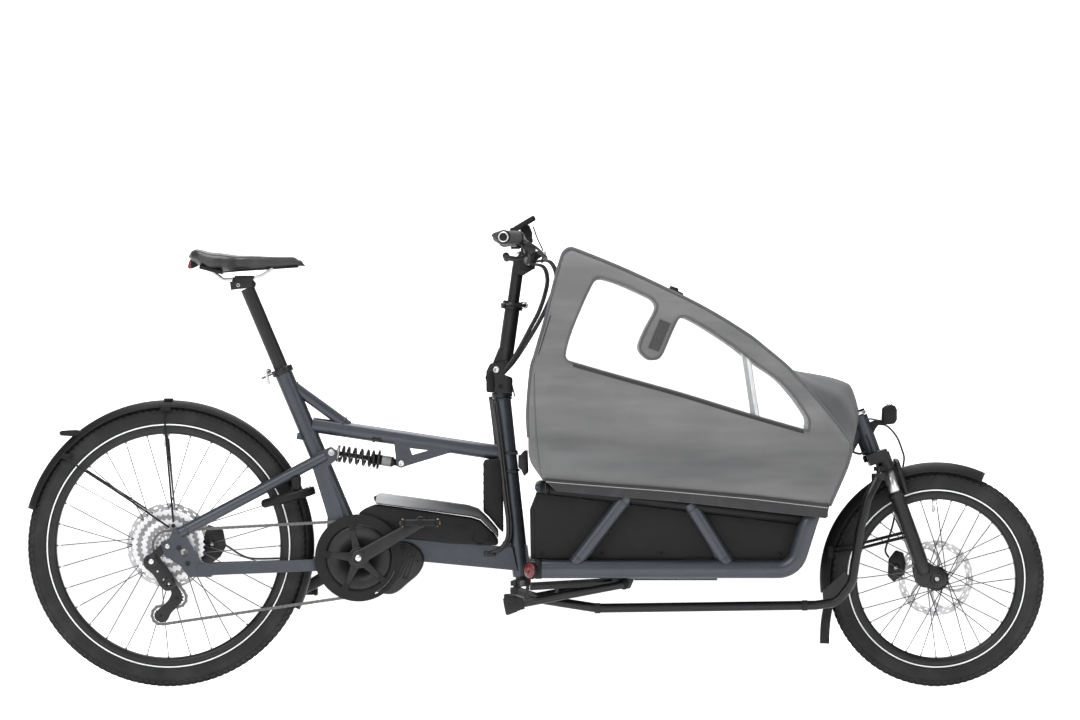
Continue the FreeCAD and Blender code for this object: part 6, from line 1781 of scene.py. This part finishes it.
def levers():
    """Master cylinders with clamps and caps, brake levers with hooked ball ends, shifter and bell."""
    bodies, caps = [], []
    for side in (-1, 1):
        out = (on_bar(10, side) - on_bar(0, side)).normalized()
        clamp = on_bar(19, side)
        bodies.append(spun([(11.05, -7), (15, -7), (16, -6), (16, 6), (15, 7), (11.05, 7)], clamp, out))
        spot = on_bar(14, side)
        bodies.append(box_mesh("reservoir", spot + mm(25, 0, -25), (0.031, 0.036, 0.018),
                               Matrix.Rotation(math.radians(30), 3, "Y"), 0.004))
        bodies.append(sweep("neck", [clamp + mm(6, 0, -12), spot + mm(14, 0, -19), spot + mm(24, 0, -25)], 0.0065, 14))
        bodies.append(sweep("barrel", [spot + mm(16, side * -16, -30), spot + mm(30, side * 14, -34)], 0.0058, 16))
        bodies.append(sweep("perch", [mm(-22, side * 206, 1031), mm(-8, side * 204, 1034), mm(0, side * 200, 1038)],
                            0.0052, 12))
        caps.append(box_mesh("cap", spot + mm(29.5, 0, -17), (0.026, 0.030, 0.003),
                             Matrix.Rotation(math.radians(30), 3, "Y"), 0.0012))
        blade = [mm(-21, side * 203, 1023), mm(-24, side * 216, 1021.5), mm(-28, side * 232, 1019),
                 mm(-42, side * 262, 1017), mm(-57, side * 288, 1019), mm(-66, side * 299, 1022)]
        line = smooth_line(blade, 40)
        radii = [(0.0058 - 0.0018 * math.sin(math.pi * k / 39), 0.0040) for k in range(40)]
        tag = "right" if side < 0 else "left"
        ball = spun([(0.3, -8.4), (4, -7.6), (7, -5), (8.6, 0), (7, 5), (4, 7.6), (0.3, 8.4)],
                    mm(-66, side * 300, 1022), (0, 0, 1), 24, False)
        pin = sweep("pin", [mm(-15.2, side * 204.2, 1023), mm(-28.8, side * 207.6, 1023)], 0.0030, 12)
        piece("brake_blade_" + tag, [sweep("blade", line, radii, 14), ball, pin], "black_metal", "brake_lever_" + tag,
              ["brake_lever_" + tag])
    piece("brake_masters", bodies, "black_metal", "bar", ["lever_bodies"])
    piece("master_caps", caps, "black_plastic", "bar")
    hub = mm(-36, -194, 1042)
    paddle = [box_mesh("paddle", hub + mm(-8, 0, 0), (0.022, 0.009, 0.006), bevel=0.002),
              spun([(0.4, -1), (5, -1), (5.4, 1), (5.4, 7), (4.4, 8), (0.4, 8)], hub, (0, 0, 1), 24)]
    piece("shift_paddle", paddle, "black_plastic", "shift_lever", ["shift_lever"], "black_plastic")
    bell = [spun([(0.4, 12), (7, 11), (12, 7), (13.4, 1), (13.4, 0), (12.6, 0), (11, 6), (0.4, 10)],
                 mm(-16, 128, 1062), (0.3, 0, 1), 40),
            spun([(0.4, 0), (4, 0), (4, -14), (0.4, -14)], mm(-16, 128, 1062), (0.3, 0, 1), 20)]
    piece("bell", bell, "black_metal", "bar")


def display():
    """Display slab with bezel, dark glass and keys on its foot, and the stem's clamp bolts."""
    tilt = Matrix.Rotation(math.radians(-31), 3, "Y")
    middle = mm(-27, 0, 1099)
    up = tilt @ Vector((0, 0, 1))
    ahead = tilt @ Vector((1, 0, 0))
    case = [box_mesh("case", middle, (0.068, 0.077, 0.0125), tilt, 0.004),
            slab([(-34, 1092), (-12, 1099), (-4, 1080), (-5, 1033), (-32, 1033), (-30, 1070)], -9, 9, 2),
            box_mesh("keys", middle - ahead * 0.028 + up * 0.0062, (0.008, 0.052, 0.0022), tilt, 0.0008)]
    piece("display_case", case, "black_plastic", "bar", ["display"])
    glass = box_mesh("glass", middle + ahead * 0.004 + up * 0.0060, (0.048, 0.064, 0.0016), tilt, 0.0006)
    piece("display_glass", [glass], "display_glass", "bar", slot="black_plastic")
    keys = [box_mesh("key", middle - ahead * 0.028 + up * 0.0074 + Vector((0, y, 0)), (0.005, 0.010, 0.0012), tilt,
                     0.0005) for y in (-0.018, 0, 0.018)]
    piece("display_keys", keys, "grey_plastic", "bar", slot="grey_plastic")
    bolts = [spun([(0.3, 1), (2, 1), (2.2, 3), (4, 3), (4.4, 2), (4.4, -2)], mm(x, y, z), (-0.35, 0, 1), 18, False)
             for x, y, z in ((-40, -15, 1031), (-40, 15, 1031))]
    bolts += [bolt(x, side * 24, z, 4, side) for side in (-1, 1) for x, z in ((-12, 998), (-30, 1020))]
    bolts.append(spun([(0.4, 3), (5, 3), (7, 1), (7, -3), (0.4, -4)], mm(22, -20, 1030), (0, -1, 0), 24))
    piece("bar_clamp_bolts", bolts, "bare_alloy", "bar")
    mount = [slab([(-8, 1020), (4, 1036), (20, 1038), (26, 1030), (20, 1024), (2, 1012)], -22, -14, 2),
             slab([(-34, 992), (-36, 1036), (4, 1034), (2, 994), (-16, 988)], -27, -24.5, 1.2),
             slab([(-34, 992), (-36, 1036), (4, 1034), (2, 994), (-16, 988)], 24.5, 27, 1.2)]
    piece("bar_clamp_sides", mount, "black_plastic", "bar")


def bar_hoses():
    """Hose and cable bundles from the bar down to the stem's foot, and leads along the bar."""
    runs = (((-4, -24, 1006), (22, -24, 998), (31, -23, 968), (24, -22, 930), (10, -21, 890), (-8, -20, 856),
             (-28, -19, 818), (-50, -18, 780), (-74, -16, 748)),
            ((-4, 20, 1012), (36, 21, 1012), (53, 22, 984), (50, 22, 955), (40, 22, 925), (24, 22, 890),
             (2, 21, 850), (-24, 20, 808), (-50, 18, 770), (-74, 16, 744)))
    for number, points in enumerate(runs):
        strands = []
        for k in range(3):
            turn = TAU * k / 3 + number
            shift = (3.0 * math.cos(turn), 3.0 * math.sin(turn), 0.6 * math.sin(turn))
            strands.append(tube([[a + b for a, b in zip(p, shift)] for p in points], 3.1, 10, 80))
        bundle = piece(f"bar_hoses_{number}", strands, "cable_black", None, ["bar_cables"])
        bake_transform(bundle)
    loops = []
    for side in (-1, 1):
        loops.append(tube([(10, side * 185, 1030), (26, side * 150, 1024), (30, side * 90, 1018),
                           (26, side * 40, 1016), (18, side * 22, 1010)], 2.5, 10, 50))
        loops.append(tube([(-14, side * 172, 1056), (8, side * 140, 1042), (20, side * 80, 1030),
                           (20, side * 34, 1020), (18, side * 20, 1010)], 2.2, 10, 50))
    loops.append(tube([(-2, 12, 1094), (8, 16, 1066), (20, 18, 1040), (24, 19, 1018)], 1.8, 8, 30))
    piece("bar_leads", loops, "cable_black", "bar")


def stem_fittings():
    """Tilt pin caps, boot shells at the knuckle, and the height clamp with its lever."""
    along = Vector((33, 0, 238)).normalized()
    foot = Vector((-71, 0, 762))
    clamp = foot + along * 146
    caps = [bolt(-90, way * 25, 754, 7.5, way, 4) for way in (-1, 1)]
    piece("tilt_pin_caps", caps, "bare_alloy", "stem")
    band = [spun([(18.1, -9), (23, -9), (24.4, -7), (24.4, 7), (23, 9), (14.3, 9), (14.3, 6), (18.1, 6)],
                 clamp * 0.001, along, 44),
            slab([(clamp.x + 20, clamp.z - 8), (clamp.x + 34, clamp.z - 7), (clamp.x + 34, clamp.z + 9),
                  (clamp.x + 20, clamp.z + 9)], -13, 13, 2),
            slab([(-100, 752), (-94, 766), (-80, 775), (-58, 772), (-54, 786), (-84, 806), (-100, 766)], -14.5, 14.5,
                 2)]
    piece("height_clamp_band", band, "black_metal", "stem")
    pin = clamp + Vector((29, 0, 0))
    lever = [tube([(pin.x, -15.5, pin.z), (pin.x, 15.5, pin.z)], 3.8, 16),
             tube([(pin.x, -17, pin.z), (pin.x - 6, -28, pin.z), (pin.x - 26, -35, pin.z + 1),
                   (pin.x - 50, -36, pin.z)], 3.6, 12, 30),
             spun([(0.4, 6), (5, 6), (6.4, 4), (6.4, -5), (5, -6), (0.4, -6)],
                  mm(pin.x - 51, -36, pin.z), (1, 0, 0), 24)]
    piece("height_clamp_lever", lever, "black_metal", "height_lever", ["height_lever"])
    nuts = [spun([(3.4, -2), (7, -2), (8, -1), (8, 1), (7, 2), (3.4, 2)], mm(pin.x, -17, pin.z), (0, 1, 0), 30),
            spun([(0.4, 3), (6, 3), (7.4, 1), (7.4, -2), (0.4, -3)], mm(pin.x, 17, pin.z), (0, 1, 0), 30)]
    piece("height_clamp_nuts", nuts, "bare_alloy", "height_lever")
    boot = [slab([(-113, 702), (-114, 726), (-117, 736), (-108, 752), (-96, 748), (-92, 716), (-96, 700)],
                 -25.5, 25.5, 3),
            slab([(-64, 700), (-52, 700), (-51, 730), (-54, 737), (-66, 739)], -25.5, 25.5, 3)]
    boot += [tube([(-58, -26 + 52 * k, 735), (-52, -27 + 54 * k, 715), (-46, -26 + 52 * k, 690)], 1.6, 8, 12)
             for k in (0, 1)]
    boot += [bolt(-80, way * 24.5, 714, 5, way) for way in (-1, 1)]
    piece("knuckle_shells", boot, "black_plastic", "steering")


studio()
dress_frame()
rain_cover()
wheel("rear", REAR_AXLE, 0.335, "rear_wheel", 32)
wheel("front", FRONT_AXLE, 0.257, "front_wheel", 32)
hub_set("rear", REAR_AXLE, "rear_wheel", 0.101, 0.044, 0.0915)
hub_set("front", FRONT_AXLE, "front_wheel", 0.090, 0.036, 0.0655)
cogs()
crankset()
pedals()
chain()
derailleur()
rear_fender()
front_fender()
fork()
brakes()
shock()
ring_lock()
battery()
frame_fittings()
reflectors()
stand_and_rod()
saddle()
bench()
grips()
levers()
display()
bar_hoses()
stem_fittings()
